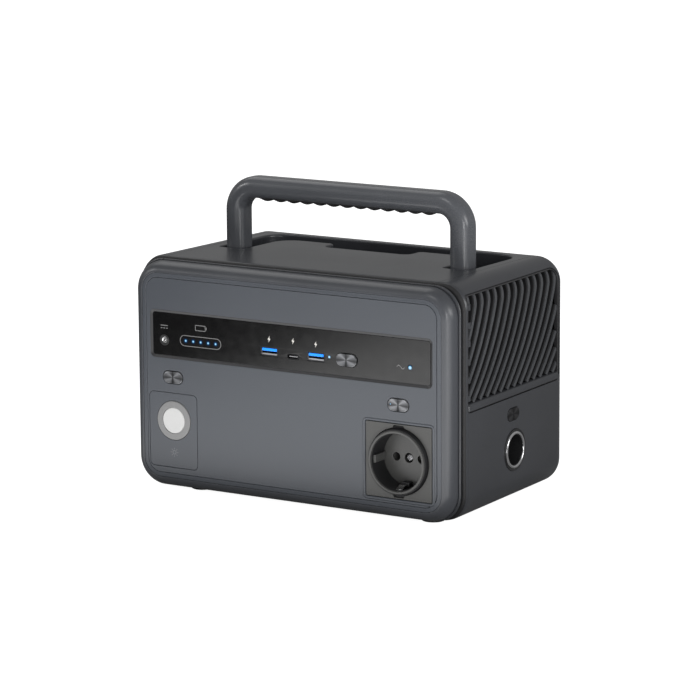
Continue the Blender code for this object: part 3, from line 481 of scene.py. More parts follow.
def loft(name, rings, material, closed=False, angle=38.0):
    """Rings of equal length joined up. Closed joins the last one to the first, as round a frame."""
    bm = bmesh.new()
    add_rings(bm, rings, closed)
    return finish_mesh(bm, name, material, angle)


def across(axis, u, v, w):
    """A point from an outline's (u, v) and its place w along the axis it faces."""
    if axis == "Y":
        return (u, w, v)
    if axis == "X":
        return (w, u, v)
    return (u, v, w)


def filled(bm, outlines, axis, level):
    """Adds a flat face with holes, as triangles, at this place along an axis."""
    curve = bpy.data.curves.new("fill", "CURVE")
    curve.dimensions = "2D"
    curve.fill_mode = "BOTH"
    for outline in outlines:
        spline = curve.splines.new("POLY")
        spline.points.add(len(outline) - 1)
        for point, (u, v) in zip(spline.points, outline):
            point.co = (u, v, 0, 1)
        spline.use_cyclic_u = True
    guide = bpy.data.objects.new("fill", curve)
    show(guide)
    mesh = evaluated_mesh(guide)
    bpy.data.objects.remove(guide)
    bpy.data.curves.remove(curve)
    verts = [bm.verts.new(across(axis, *v.co[:2], level)) for v in mesh.vertices]
    for polygon in mesh.polygons:
        bm.faces.new([verts[i] for i in polygon.vertices])
    bpy.data.meshes.remove(mesh)


def grown(outline, amount):
    """The outline moved outward by this much, or inward if it's negative."""
    count = len(outline)
    area = sum(a[0] * b[1] - b[0] * a[1] for a, b in zip(outline, outline[1:] + outline[:1]))
    sign = 1 if area > 0 else -1
    points = []
    for i, (u, v) in enumerate(outline):
        before, after = outline[i - 1], outline[(i + 1) % count]
        first = Vector((u - before[0], v - before[1])).normalized()
        second = Vector((after[0] - u, after[1] - v)).normalized()
        normal = Vector((first.y + second.y, -first.x - second.x))
        reach = normal.normalized() / max(cos(first.angle(second, 0.0) / 2), 0.4)
        points.append((u + sign * amount * reach.x, v + sign * amount * reach.y))
    return points


def plate(name, outlines, axis, front, back, material, edge=0.25, steps=3, angle=25.0):
    """A flat plate with holes. Front and back are along the axis, and the front's edges are rounded."""
    bm = bmesh.new()
    add_plate(bm, outlines, axis, front, back, edge, steps)
    return finish_mesh(bm, name, material, angle)


def add_plate(bm, outlines, axis, front, back, edge, steps=3):
    toward = 1 if back > front else -1
    faces = []
    for k, outline in enumerate(outlines):
        sign = -1 if k == 0 else 1
        rings = []
        for fall, turn in quarter_turn(steps):
            inset = grown(outline, sign * edge * (1 - turn))
            rings.append([across(axis, u, v, front + toward * edge * fall) for u, v in inset])
        rings.append([across(axis, u, v, back) for u, v in outline])
        add_rings(bm, rings, caps=False)
        faces.append(grown(outline, sign * edge))
    filled(bm, faces, axis, front)
    filled(bm, outlines, axis, back)


def frame_strip(name, profile, outline_at, axis, material, angle=38.0):
    """A strip round an outline. The profile is (inset, level) pairs, and joins up on itself."""
    rings = []
    for inset, level in profile:
        rings.append([across(axis, u, v, level) for u, v in outline_at(inset)])
    return loft(name, rings, material, closed=True, angle=angle)


def turned(name, profile, centre, axis, material, steps=64, angle=38.0):
    """A profile of (radius, level) turned about an axis through centre. A radius of 0 closes it."""
    bm = bmesh.new()
    add_turned(bm, profile, centre, axis, steps)
    return finish_mesh(bm, name, material, angle)


def add_turned(bm, profile, centre, axis, steps=64):
    rings = []
    for radius, level in profile:
        ring = circle((0, 0), max(radius, 0.001), steps)
        rings.append([Vector(across(axis, u, v, level)) + Vector(centre) for u, v in ring])
    add_rings(bm, rings, closed=all(radius > 0 for radius, _ in profile))


def spin(name, profile, place, axis, material, steps=64):
    placed(turned(name, profile, place, axis, material, steps))


def quarter_turn(steps, start=0.0):
    """(1 - cosine, sine) of the angles from start to a right angle."""
    for step in range(steps + 1):
        angle = start + (pi / 2 - start) * step / steps
        yield 1 - cos(angle), sin(angle)


def at(base, *pairs):
    """A profile whose second numbers count from base."""
    return [(first, base + second) for first, second in pairs]


def add_face(bm, points):
    return bm.faces.new([bm.verts.new(point) for point in points])


def add_box(bm, corner, far):
    size = [b - a for a, b in zip(corner, far)]
    centre = [(a + b) / 2 for a, b in zip(corner, far)]
    made = bmesh.ops.create_cube(bm, size=1.0)["verts"]
    bmesh.ops.scale(bm, vec=size, verts=made)
    bmesh.ops.translate(bm, vec=centre, verts=made)


def rounded_block(name, corner, far, material, bevel=0.4):
    bm = bmesh.new()
    add_box(bm, corner, far)
    bmesh.ops.bevel(bm, geom=bm.edges[:], offset=bevel, segments=3, affect="EDGES", profile=0.5)
    return finish_mesh(bm, name, material)


def combine(obj, other, operation, angle=38.0):
    """Cuts the other object out of this one, or joins it on, for good."""
    modifier = obj.modifiers.new("cut", "BOOLEAN")
    modifier.operation = operation
    modifier.solver = "EXACT"
    modifier.object = other
    mesh = evaluated_mesh(obj)
    obj.modifiers.clear()
    obj.data = mesh
    bpy.data.objects.remove(other)
    smooth(obj, angle)


def block(outlines, axis, start, end):
    """A plain prism to cut with."""
    bm = bmesh.new()
    add_rings(bm, [[across(axis, u, v, w) for u, v in outlines] for w in (start, end)])
    return finish_mesh(bm, "cutter", "dark")


# ---- case


def bezel_profile():
    """(inset, y) from the seam round the edge to the face, into the pocket and back behind."""
    pocket, edge = FRONT_Y + 1.8, FRONT_SEAM_Y - 0.6
    profile = at(FRONT_SEAM_Y, (1.6, 0.0), (0.5, -0.02), (0.14, -0.25))
    for fall, turn in list(quarter_turn(14))[:-1]:
        profile.append((BEZEL_BORDER * fall, edge + (FRONT_Y - edge) * turn))
    profile += at(FRONT_Y, (BEZEL_BORDER - 0.1, 0.0), (BEZEL_BORDER + 0.12, 0.15))
    profile += at(pocket, (BEZEL_BORDER + 0.2, 0.0), (BEZEL_BORDER + 0.2, WALL), (WALL + 2.0, WALL))
    return profile + [(WALL + 0.5, FRONT_SEAM_Y)]


def build_front_cover():
    placed(frame_strip("front_cover", bezel_profile(), case_outline, "Y", "bezel"))
    holes = [
        rounded_rect((-3.0, 105.6), 214.0, 18.0, 3.0),
        circle((SOCKET.x, SOCKET.z), 21.6),
        circle((LAMP.x, LAMP.z), 11.9),
        *[button_hole(name, BUTTON_GAP) for name in ("light_button", "ac_button")],
    ]
    outlines = [case_outline(BEZEL_BORDER + 0.3), *holes]
    placed(plate("front_backing", outlines, "Y", *BACKING_Y, "dark", 0.1, 1))


def button_hole(name, clearance):
    return stadium(front_of(name), *(size + 2 * clearance for size in BUTTON_SIZE))


def build_face_plate():
    start = BEZEL_BORDER + 0.3
    end = start + 3.0
    rim = at(FRONT_Y, (start, 0.45), (start + 0.15, 0.3), (end - 0.2, 0.0), (end, 0.15))
    rim = [(start, PLATE_BACK_Y), *rim, (end, PLATE_BACK_Y)]
    placed(frame_strip("face_plate_rim", rim, case_outline, "Y", "plate"))
    buttons = [button_hole(name, BUTTON_GAP) for name in ("light_button", "ac_button")]
    holes = [window_outline(0.0), socket_frame_outline(0.0), lamp_panel_outline(PANEL_LINE / 2), *buttons]
    panel = [lamp_panel_outline(-PANEL_LINE / 2), circle((LAMP.x, LAMP.z), 13.75, 64)]
    for name, outlines in (("face_plate", [case_outline(end + PANEL_LINE), *holes]), ("lamp_panel", panel)):
        placed(plate(name, outlines, "Y", FRONT_Y, PLATE_BACK_Y, "plate", 0.16, 2))


def lamp_panel_outline(grow):
    return rounded_rect((-92.95, 42.5), 38.9 + 2 * grow, 51.8 + 2 * grow, 3.5 + grow)


def window_outline(inset):
    centre = (0.0, (WINDOW_LOW.z + WINDOW_HIGH.z) / 2)
    width = WINDOW_HIGH.x - WINDOW_LOW.x + 0.6 - 2 * inset
    height = WINDOW_HIGH.z - WINDOW_LOW.z + 0.6 - 2 * inset
    return rounded_rect(centre, width, height, max(3.6 - inset, 1.2), 10)


def socket_frame_outline(inset):
    side = 54.6 - 2 * inset
    return rounded_rect((SOCKET.x, SOCKET.z), side, side, max(3.2 - inset, 0.8), 8)


def build_window():
    border = 1.8
    edge = at(FRONT_Y, (0.02, 0.12), (0.16, 0.02), (border - 0.1, 0.72), (border, 0.85))
    edge = [(0.02, PLATE_BACK_Y), *edge, (border, PLATE_BACK_Y)]
    placed(frame_strip("window_frame", edge, window_outline, "Y", "frame"))
    holes = [
        circle(front_of("dc_jack"), 3.75),
        button_hole("usb_button", 0.3),
        circle(front_of("usb_indicator_lens"), 1.25, 24),
        circle(front_of("ac_indicator_lens"), 1.95, 32),
        stadium(front_of("usb_c_shell"), 9.6, 3.7),
        *[rounded_rect(front_of(f"usb_a_shell_{side}"), 13.6, 6.1, 0.6, 3) for side in ("left", "right")],
    ]
    outlines = [window_outline(border + 0.12), *holes]
    placed(plate("display_window", outlines, "Y", GLASS_Y, PLATE_BACK_Y, "window", 0.1, 2))


def shell_size(y, share, inset):
    """(half width, base, top, radius) between the bezel's outline (share 0) and the shell's (1)."""
    half_width = HALF_WIDTH + (along_shell(y, SHELL_HALF_WIDTHS) - HALF_WIDTH) * share - inset
    base = BASE_Z + (SHELL_BASE_Z - BASE_Z) * share + inset
    top = TOP_Z + (along_shell(y, SHELL_TOPS) - TOP_Z) * share - inset
    return half_width, base, top, CORNER_RADIUS + (SHELL_RADIUS - CORNER_RADIUS) * share - inset


def c_shape(size, steps=20):
    """From the top seam round the side to the bottom seam, as (x, z)."""
    x_out, z_low, z_high, radius = size
    seam = SEAM_X + 0.3
    centre = x_out - radius
    turn = acos(min(max((seam - centre) / radius, 0.0), 1.0))
    drop = radius * (1 - sin(turn))
    arc = [turn * (0.97 - 0.97 * step / steps) for step in range(steps + 1)]
    upper = [(centre + radius * cos(a), z_high - radius + radius * sin(a)) for a in arc]
    lower = [(x, z_low + z_high - z) for x, z in upper[::-1]]
    return [(seam, z_high - drop)] + upper + lower + [(seam, z_low + drop)]


def shell_stations():
    """(y, share, inset, inner share) rows: a raised bead, a groove, the wall, the rear rounding."""
    start = FRONT_SEAM_Y + 0.3
    front = [
        (0.0, 0.05, 0.0), (0.05, 0.25, 0.0), (0.3, 0.37, 0.0), (0.7, 0.42, 0.0), (1.1, 0.4, 0.0),
        (1.5, 0.3, 0.0), (1.75, 0.05, 0.0), (1.85, -0.45, 0.0), (3.3, -0.45, 0.0), (3.4, 0.2, 0.0),
        (3.6, 0.46, 0.0), (4.2, 0.64, 0.0), (5.2, 0.82, 0.2), (6.4, 0.94, 0.3), (7.7, 1.0, 0.5),
        (11.0, 1.0, 1.0),
    ]
    rows = [(start + y, share, 0.0, inner) for y, share, inner in front]
    end = REAR_SEAM_Y - 0.3
    for step in range(9):
        y = ROUNDING_Y + (end - ROUNDING_Y) * step / 8
        rows.append((y, 1.0, rounding_inset(y), 1.0))
    rows.append((end + 0.02, 1.0, rounding_inset(end) + 0.4, 1.0))
    return rows


def build_seam_shadow_strip():
    """The near-black strip that runs all round, between the shell's raised bead and its wall: painted
    shadow in the groove there.
    """
    start = FRONT_SEAM_Y + 0.3
    section = [
        (1.86, -0.3), (3.3, -0.2), (3.36, 0.26), (3.6, 0.52), (4.2, 0.7), (4.9, 0.83),
        (5.0, 0.5), (4.2, 0.2), (3.5, -0.6), (1.86, -0.6),
    ]
    rings = []
    for y, share in section:
        half_width, base, top, radius = shell_size(start + y, share, 0.0)
        outline = rounded_rect((0, (base + top) / 2), 2 * half_width, top - base, radius, 20)
        rings.append([(x, start + y, z) for x, z in outline])
    placed(loft("seam_shadow_strip", rings, "dark", closed=True))


def build_side_shell(name, side):
    rings = []
    for y, share, inset, inner in shell_stations():
        outside = c_shape(shell_size(y, share, inset))
        inside = c_shape(shell_size(y, inner, inset + WALL))
        rings.append([(side * x, y, z) for x, z in outside + inside[::-1]])
    shell = loft(name, rings, "shell")
    opening = grille_outline(0.0)
    combine(shell, block(opening, "X", *sorted((side * 100.0, side * 130.0))), "DIFFERENCE")
    if side > 0:
        hole = middle("car_button")
        outline = stadium((hole.y, hole.z), BUTTON_SIZE[0] + 0.6, BUTTON_SIZE[1] + 0.6)
        combine(shell, block(outline, "X", 118, 132), "DIFFERENCE")
        combine(shell, block(circle((CAR_SOCKET.y, CAR_SOCKET.z), 14.5, 64), "X", 118, 132), "DIFFERENCE")
    placed(shell)


# ---- top with the handle's channel


def channel_outline(grow, steps=8):
    """The U-shaped recess seen from above, this much wider all round."""
    front, rear = -8.6 - grow, 64.5 + grow
    out_x, in_x = 98.8 + grow, 79.2 - grow
    island, notch = 43.5 - grow, 27.5 - grow
    left, right = -36.7 - grow, 31.0 + grow
    corners = [
        ((-out_x, front), 2.0 + grow), ((-in_x, front), 2.0 + grow),
        ((-in_x, island), 16.0 - grow), ((left, island), 4.0 - grow),
        ((left, notch), 5.0 + grow), ((right, notch), 5.0 + grow),
        ((right, island), 4.0 - grow), ((in_x, island), 16.0 - grow),
        ((in_x, front), 2.0 + grow), ((out_x, front), 2.0 + grow),
        ((out_x, rear), 18.0 + grow), ((-out_x, rear), 18.0 + grow),
    ]
    return rounded_polygon([place for place, _ in corners], [max(r, 0.4) for _, r in corners], steps)


def build_top_cover():
    bm = bmesh.new()
    rim, floor_round = 1.5, 1.95
    top = SHELL_TOPS[0]
    rings = []
    for fall, turn in quarter_turn(6):
        rings.append([(x, y, top - rim * fall) for x, y in channel_outline(rim * (1 - turn))])
    for fall, turn in quarter_turn(4):
        level = CHANNEL_FLOOR_Z + floor_round * (1 - turn)
        rings.append([(x, y, level) for x, y in channel_outline(-floor_round * fall)])
    add_rings(bm, rings, caps=False)
    filled(bm, [channel_outline(-floor_round)], "Z", CHANNEL_FLOOR_Z)
    section = []
    for y, share, inset, _ in shell_stations():
        level = shell_size(y, share, inset)[2] - along_shell(y, SHELL_TOPS) + top
        section.append((y, top if abs(level - top) < 0.001 else level))
    flat = [i for i, (_, level) in enumerate(section) if level == top]
    first, last = flat[0], flat[-1]
    filled(bm, [deck_outline(section[first][0], section[last][0]), channel_outline(rim)], "Z", top)
    for part in (section[: first + 1], section[last:]):
        for near, far in zip(part, part[1:]):
            add_face(bm, [(-SEAM_X, *near), (SEAM_X, *near), (SEAM_X, *far), (-SEAM_X, *far)])
    under, base = TOP_Z - WALL, CHANNEL_FLOOR_Z - WALL
    outer = channel_outline(WALL)
    add_rings(bm, [[(x, y, z) for x, y in outer] for z in (under, base)], caps=False)
    filled(bm, [outer], "Z", base)
    front_y, rear_y = section[0][0], section[-1][0]
    filled(bm, [deck_outline(front_y, rear_y), outer], "Z", under)
    for end in (section[0], section[-1]):
        low_end = (end[0], under)
        add_face(bm, [(-SEAM_X, *end), (SEAM_X, *end), (SEAM_X, *low_end), (-SEAM_X, *low_end)])
    for x in (-SEAM_X, SEAM_X):
        add_face(bm, [(x, y, level) for y, level in section] + [(x, rear_y, under), (x, front_y, under)])
    for vert in bm.verts:
        if vert.co.z > CHANNEL_FLOOR_Z + 5:
            vert.co.z += along_shell(vert.co.y, SHELL_TOPS) - top
    placed(finish_mesh(bm, "top_cover", "shell"))


def deck_outline(front, rear):
    return [(-SEAM_X, front), (SEAM_X, front), (SEAM_X, rear), (-SEAM_X, rear)]


def build_bottom_cover():
    section = [(y, shell_size(y, share, inset)[1]) for y, share, inset, _ in shell_stations()]
    over = SHELL_BASE_Z + WALL + 1.9
    outline = section + [(section[-1][0], over), (section[0][0], over)]
    bm = bmesh.new()
    add_rings(bm, [[(x, y, z) for y, z in outline] for x in (-SEAM_X, SEAM_X)])
    placed(finish_mesh(bm, "bottom_cover", "shell"))


def rear_rings(profile):
    """Rings round the rear cover, from (inset, y) pairs."""
    return [[(x, y, z) for x, z in rear_outline(inset)] for inset, y in profile]


def build_rear_cover():
    start = asin((REAR_SEAM_Y - ROUNDING_Y) / REAR_ROUNDING) + 0.01
    edge = rounding_inset(REAR_SEAM_Y)
    profile = [(edge + 0.4, REAR_SEAM_Y)]
    for fall, turn in quarter_turn(12, start):
        profile.append((REAR_ROUNDING * fall, ROUNDING_Y + REAR_ROUNDING * turn))
    profile += at(REAR_Y, (12.2, -0.02), (12.3, -0.5), (13.0, -0.55), (13.3, -0.1), (13.6, 0.0))
    bm = bmesh.new()
    add_rings(bm, rear_rings(profile), caps=False)
    screws = [front_of(f"rear_screw_{i}") for i in range(1, 5)]
    filled(bm, [rear_outline(13.6), *[circle(place, 3.4, 32) for place in screws]], "Y", REAR_Y)
    for place in screws:
        steps = at(REAR_Y, (3.4, 0.0), (3.3, -0.2), (3.3, -1.3))
        rows = add_rings(bm, [[(x, y, z) for x, z in circle(place, r, 32)] for r, y in steps], caps=False)
        bm.faces.new(rows[-1])
    inner = [(edge + WALL + 3.5, REAR_Y - WALL), (edge + WALL, REAR_SEAM_Y), (edge + 0.4, REAR_SEAM_Y)]
    bm.faces.new(add_rings(bm, rear_rings(inner), caps=False)[0])
    placed(finish_mesh(bm, "rear_cover", "bezel"))
    for i, (x, z) in enumerate(screws, 1):
        build_screw(f"rear_screw_{i}", (x, REAR_Y - 0.3, z), 1, 2.9)


def build_screw(name, place, facing, radius):
    """A cross-head screw with a domed head, facing along +Y or -Y."""
    profile = [(0, 0.0), (radius * 0.5, -0.05), (radius * 0.85, -0.25), (radius, -0.55), (radius, -0.8)]
    profile += [(1.4, -0.85), (1.4, -10.0), (0, -10.0)]
    screw = turned(name, [(r, facing * level) for r, level in profile], place, "Y", "steel", 32)
    arm, half = radius * 0.52, radius * 0.12
    quarter = [(half, -arm), (half, -half), (arm, -half)]
    cross = []
    for _ in range(4):
        cross += quarter
        quarter = [(-v, u) for u, v in quarter]
    ends = sorted((place[1] - facing * 0.6, place[1] + facing * 0.5))
    combine(screw, block([(place[0] + u, place[2] + v) for u, v in cross], "Y", *ends), "DIFFERENCE")
    placed(screw)


def build_feet():
    profile = [(0, 1.3), (8.0, 1.3), (8.0, 0.8), (7.8, 0.35), (7.3, 0.1), (6.6, 0.0), (5.6, 0.0)]
    profile += [(5.2, 0.2), (0, 0.2)]
    for name in ("foot_front_left", "foot_front_right", "foot_rear_left", "foot_rear_right"):
        centre = middle(name)
        spin(name, profile, (centre.x, centre.y, 0), "Z", "rubber", 40)


# ---- handle


def build_handle():
    wide, deep, radius = SECTION
    section = rounded_rect((0, 0), wide, deep, radius, 8)
    bar_z = BAR_TOP_Z - wide / 2
    top = bar_z - BEND_RADIUS
    bend_x = LEG_X - BEND_RADIUS
    path = [(-LEG_X, PIVOT.z, 0.0), (-LEG_X, (PIVOT.z + top) / 2, 0.0)]
    for angle in (pi / 2 * step / 18 for step in range(19)):
        path.append((-bend_x - BEND_RADIUS * cos(angle), top + BEND_RADIUS * sin(angle), angle))
    path += [(-x, z, pi - lean) for x, z, lean in path[::-1]]
    rings = []
    for x, z, lean in path:
        side = Vector((-cos(lean), 0, sin(lean)))
        rings.append([Vector((x, PIVOT.y, z)) + side * u + Vector((0, v, 0)) for u, v in section])
    handle = loft("handle", rings, "handle")
    centre = (0, PIVOT.y, PIVOT.z)
    for side in (-1, 1):
        bm = bmesh.new()
        inner, outer = side * (LEG_X - 6.9), side * (LEG_X + 6.9)
        profile = [(0, inner), (7.4, inner), (8.6, inner + side * 1.2), (8.6, outer - side * 1.2)]
        add_turned(bm, profile + [(7.4, outer), (0, outer)], centre, "X", 48)
        combine(handle, finish_mesh(bm, "leg_end", "handle"), "UNION")
    placed(handle, "carry_handle")
    build_grip(bar_z - wide / 2)
    for name in ("pivot_pin_left", "pivot_pin_right"):
        profile = at(low(name).x, (0, 0), (2.3, 0), (2.5, 0.2))
        profile += at(high(name).x, (2.5, -0.2), (2.3, 0), (0, 0))
        spin(name, profile, centre, "X", "steel", 32)


def build_grip(under):
    """The ribbed rubber strip under the bar: rounded ridges with a soft crown across."""
    half, waves, depth, half_width = 69.5, 13, 1.9, 5.8
    samples = waves * 14
    across_steps = 12
    rings = []
    for i in range(samples + 1):
        share = i / samples
        x = -half + 2 * half * share
        wave = sin(pi * waves * share) ** 2
        end = min(1.0, (half - abs(x)) / 1.0)
        drop = depth * (wave**0.7) * end
        ring = [(x, PIVOT.y + half_width, under + 1.2), (x, PIVOT.y - half_width, under + 1.2)]
        for k in range(across_steps + 1):
            s = -1 + 2 * k / across_steps
            crown = (1 - abs(s) ** 2.6) ** 0.5 if abs(s) < 1 else 0.0
            ring.append((x, PIVOT.y + s * half_width, under + 0.7 - (0.75 + drop) * crown))
        rings.append(ring)
    grip = loft("handle_grip", rings, "rubber")
    placed(grip, "carry_handle")


# ---- buttons, ports and lights


def build_button(name, body, facing):
    centre = middle(name)
    if facing == "Y":
        place, front, back, across_face = (centre.x, centre.z), low(name).y, high(name).y, "X"
        shade = (0.105, 0.107, 0.113)
    else:
        place, front, back, across_face = (centre.y, centre.z), high(name).x, low(name).x, "Y"
        shade = (0.030, 0.030, 0.032)
    toward = 1 if back > front else -1
    rings = []
    for inset, sink in ((1.15, 0.12), (0.8, 0.04), (0.5, 0.0), (0.28, 0.06), (0.1, 0.22), (0.0, 0.5)):
        outline = stadium(place, BUTTON_SIZE[0] - 2 * inset, BUTTON_SIZE[1] - 2 * inset, 14)
        rings.append([across(facing, u, v, front + toward * sink) for u, v in outline])
    rings.append([across(facing, u, v, back) for u, v in stadium(place, *BUTTON_SIZE, 14)])
    M[name] = sunburst(name + "_face", place, across_face, shade)
    placed(loft(name, rings, name), body)


def build_button_light():
    """The small blue lamp at the left end of the mains button."""
    button, face = middle("ac_button"), low("ac_button").y
    place = (button.x - 5.6, button.z + 0.3)
    build_spot("ac_button_light", place, 0.3, 0.75, face + 0.02, 0.015, "ac_switch")


def build_dc_jack():
    centre = middle("dc_jack")
    place = (centre.x, 0, centre.z)
    front = FRONT_Y + 0.5
    ring = at(front, (2.15, 0.6), (2.7, 0.0), (3.5, 0.0), (3.7, 0.2), (3.7, 12.0), (2.15, 12.0))
    spin("dc_jack", ring, place, "Y", "black", 48)
    sleeve = at(front, (1.7, 1.0), (2.0, 0.7), (2.1, 0.9), (2.1, 6.0), (0, 6.0), (0, 3.2))
    sleeve += at(front, (1.4, 3.0), (1.6, 2.6))
    spin("dc_jack_sleeve", sleeve, place, "Y", "bright_steel", 48)
    pin = at(front, (0, 0.9), (0.7, 1.0), (1.0, 1.4), (1.0, 5.0), (0, 5.0))
    spin("dc_jack_pin", pin, place, "Y", "bright_steel", 24)


def build_port_shell(name, outer, inner, depth):
    """A thin metal port: outside from back to front, over its rim, and down inside to a floor."""
    rows = at(PORT_Y, (outer, 11.5), (outer, 0.1), (grown(outer, -0.1), 0.0))
    rows += at(PORT_Y, (grown(inner, 0.08), 0.0), (inner, 0.08), (inner, depth))
    bm = bmesh.new()
    made = add_rings(bm, [[across("Y", u, v, w) for u, v in outline] for outline, w in rows], caps=False)
    bm.faces.new(made[0])
    bm.faces.new(made[-1])
    placed(finish_mesh(bm, name, "dark_steel"))


def build_usb_a(side):
    shell, tongue = middle(f"usb_a_shell_{side}"), middle(f"usb_a_tongue_{side}")
    place = (shell.x, shell.z)
    outer, inner = rounded_rect(place, 13.3, 5.8, 0.6, 3), rounded_rect(place, 12.4, 4.9, 0.3, 3)
    build_port_shell(f"usb_a_shell_{side}", outer, inner, 9.0)
    corner = (tongue.x - 5.7, PORT_Y + 0.45, tongue.z - 0.75)
    far = (tongue.x + 5.7, PORT_Y + 8.8, tongue.z + 1.05)
    placed(rounded_block(f"usb_a_tongue_{side}", corner, far, "blue", 0.15))
    bm = bmesh.new()
    for k in range(4):
        x = tongue.x - 3.9 + 2.6 * k
        add_box(bm, (x - 0.5, PORT_Y + 0.9, tongue.z - 0.95), (x + 0.5, PORT_Y + 8.5, tongue.z - 0.7))
    x, z = place
    add_box(bm, (x - 6.1, PORT_Y + 0.7, z - 2.35), (x + 6.1, PORT_Y + 1.2, z - 1.2))
    add_box(bm, (x - 6.2, PORT_Y + 0.5, z - 1.4), (x - 5.9, PORT_Y + 1.2, z + 1.6))
    placed(finish_mesh(bm, f"usb_a_contacts_{side}", "steel"))


def build_usb_c():
    x, z = front_of("usb_c_shell")
    build_port_shell("usb_c_shell", stadium((x, z), 9.3, 3.4, 8), stadium((x, z), 8.5, 2.6, 8), 6.5)
    corner, far = (x - 3.3, PORT_Y + 0.5, z - 0.35), (x + 3.3, PORT_Y + 6.4, z + 0.35)
    placed(rounded_block("usb_c_tongue", corner, far, "steel", 0.12))


def build_spot(name, centre, core, halo, front, dome=0.15, body=CASE):
    """A round light: a domed disc whose glow attribute falls from its middle to its rim."""
    bm = bmesh.new()
    layer = bm.verts.layers.float.new("glow")
    x, z = centre
    top = bm.verts.new((x, front - dome, z))
    top[layer] = 1.0
    rows = []
    for radius in (halo * k / 12 for k in range(1, 13)):
        level = max(0.0, 1.0 - radius / core * 0.25)
        if radius > core:
            level = 0.75 * (1 - (radius - core) / (halo - core)) ** 1.6
        row = []
        for u, v in circle((x, z), radius, 32):
            vert = bm.verts.new((u, front - dome * (1 - (radius / halo) ** 2), v))
            vert[layer] = level
            row.append(vert)
        rows.append(row)
    rows.append([bm.verts.new((v.co.x, front + 0.4, v.co.z)) for v in rows[-1]])
    for a, b in zip(rows[0], rows[0][1:] + rows[0][:1]):
        bm.faces.new((top, a, b))
    for first, second in zip(rows, rows[1:]):
        for a, b, c, d in zip(first, first[1:] + first[:1], second[1:] + second[:1], second):
            bm.faces.new((a, b, c, d))
    bm.faces.new(rows[-1])
    placed(finish_mesh(bm, name, "glow"), body)


def build_lights():
    guide = middle("charge_light_guide")
    outline = stadium((guide.x, guide.z - 0.1), 33.5, 7.6)
    edges = [outline, grown(outline, -0.5)]
    line = plate("charge_outline", edges, "Y", GLASS_Y - 0.03, GLASS_Y + 0.05, "print", 0.01, 1)
    placed(line, node="charge_light_guide")
    for k in range(5):
        centre = (guide.x - 11.9 + LIGHT_PITCH * k, guide.z - 0.1)
        build_spot(f"charge_light_{k + 1}", centre, 0.6, 2.3, GLASS_Y - 0.04, 0.02)
    for name, core, halo in (("usb_indicator_lens", 0.8, 1.2), ("ac_indicator_lens", 1.1, 1.9)):
        build_spot(name, front_of(name), core, halo, GLASS_Y + 0.1)


def build_lamp():
    place = (LAMP.x, 0, LAMP.z)
    face = FRONT_Y - 0.55
    ring = at(face, (9.0, 0.25), (9.2, 0), (12.8, 0), (13.3, 0.2), (13.5, 0.6), (13.5, 2.0))
    ring += at(face, (11.5, 2.0), (11.5, 4.8), (9.0, 4.8))
    spin("lamp_ring", ring, place, "Y", "ring", 96)
    lens = at(face, (0, 0), (4.0, 0.03), (7.0, 0.1), (8.6, 0.22), (8.9, 0.5), (8.9, 3.0), (0, 3.0))
    spin("lamp_lens", lens, place, "Y", "lens", 96)


def icon(name, outlines, y, material="print"):
    """A printed sign, a twentieth of a millimetre thick."""
    made = plate(name, outlines, "Y", y - 0.03, y + 0.04, material, 0.008, 1)
    return placed(made)


def build_icons():
    for name in ("usb_a_shell_left", "usb_c_shell", "usb_a_shell_right"):
        x, z = middle(name).x, 113.4 if name == "usb_c_shell" else 112.9
        bolt = [(0.5, 2.2), (-1.15, -0.3), (-0.1, -0.3), (-0.5, -2.2), (1.15, 0.35), (0.1, 0.35)]
        icon(f"bolt_{name}", [[(x + u, z + v) for u, v in bolt]], GLASS_Y, "bright_print")
    x = middle("dc_jack").x
    bars = [rounded_rect((x, 114.4), 6.0, 0.6, 0.2, 2)]
    bars += [rounded_rect((x + 2.2 * k, 112.6), 1.4, 0.6, 0.2, 2) for k in (-1, 0, 1)]
    for i, bar in enumerate(bars):
        icon(f"direct_current_sign_{i}", [bar], GLASS_Y)
    x, z = middle("charge_light_guide").x, 115.0
    battery = rounded_rect((x, z), 8.4, 4.0, 0.6, 3)
    icon("battery_sign", [battery, grown(battery, -0.5)], GLASS_Y)
    icon("battery_sign_tip", [rounded_rect((x + 4.8, z), 0.7, 1.8, 0.2, 2)], GLASS_Y)
    x, z = front_of("ac_indicator_lens")
    turns = [k / 24 for k in range(25)]
    wave = [(x - 10.0 + 6.0 * t, z + 1.1 * sin(2 * pi * t)) for t in turns]
    icon("alternating_current_sign", [wave + [(u, v - 0.6) for u, v in wave[::-1]]], GLASS_Y)
    x, z = LAMP.x, 27.3
    icon("lamp_sign", [circle((x, z), 1.5, 24), circle((x, z), 1.05, 24)], FRONT_Y, "faint_print")
    for k in range(8):
        turn = Matrix.Rotation(pi / 4 * k, 2)
        ray = [turn @ Vector(p) for p in ((-0.2, 2.1), (0.2, 2.1), (0.2, 3.2), (-0.2, 3.2))]
        icon(f"lamp_sign_ray_{k + 1}", [[(x + p.x, z + p.y) for p in ray]], FRONT_Y, "faint_print")


# ---- mains outlet


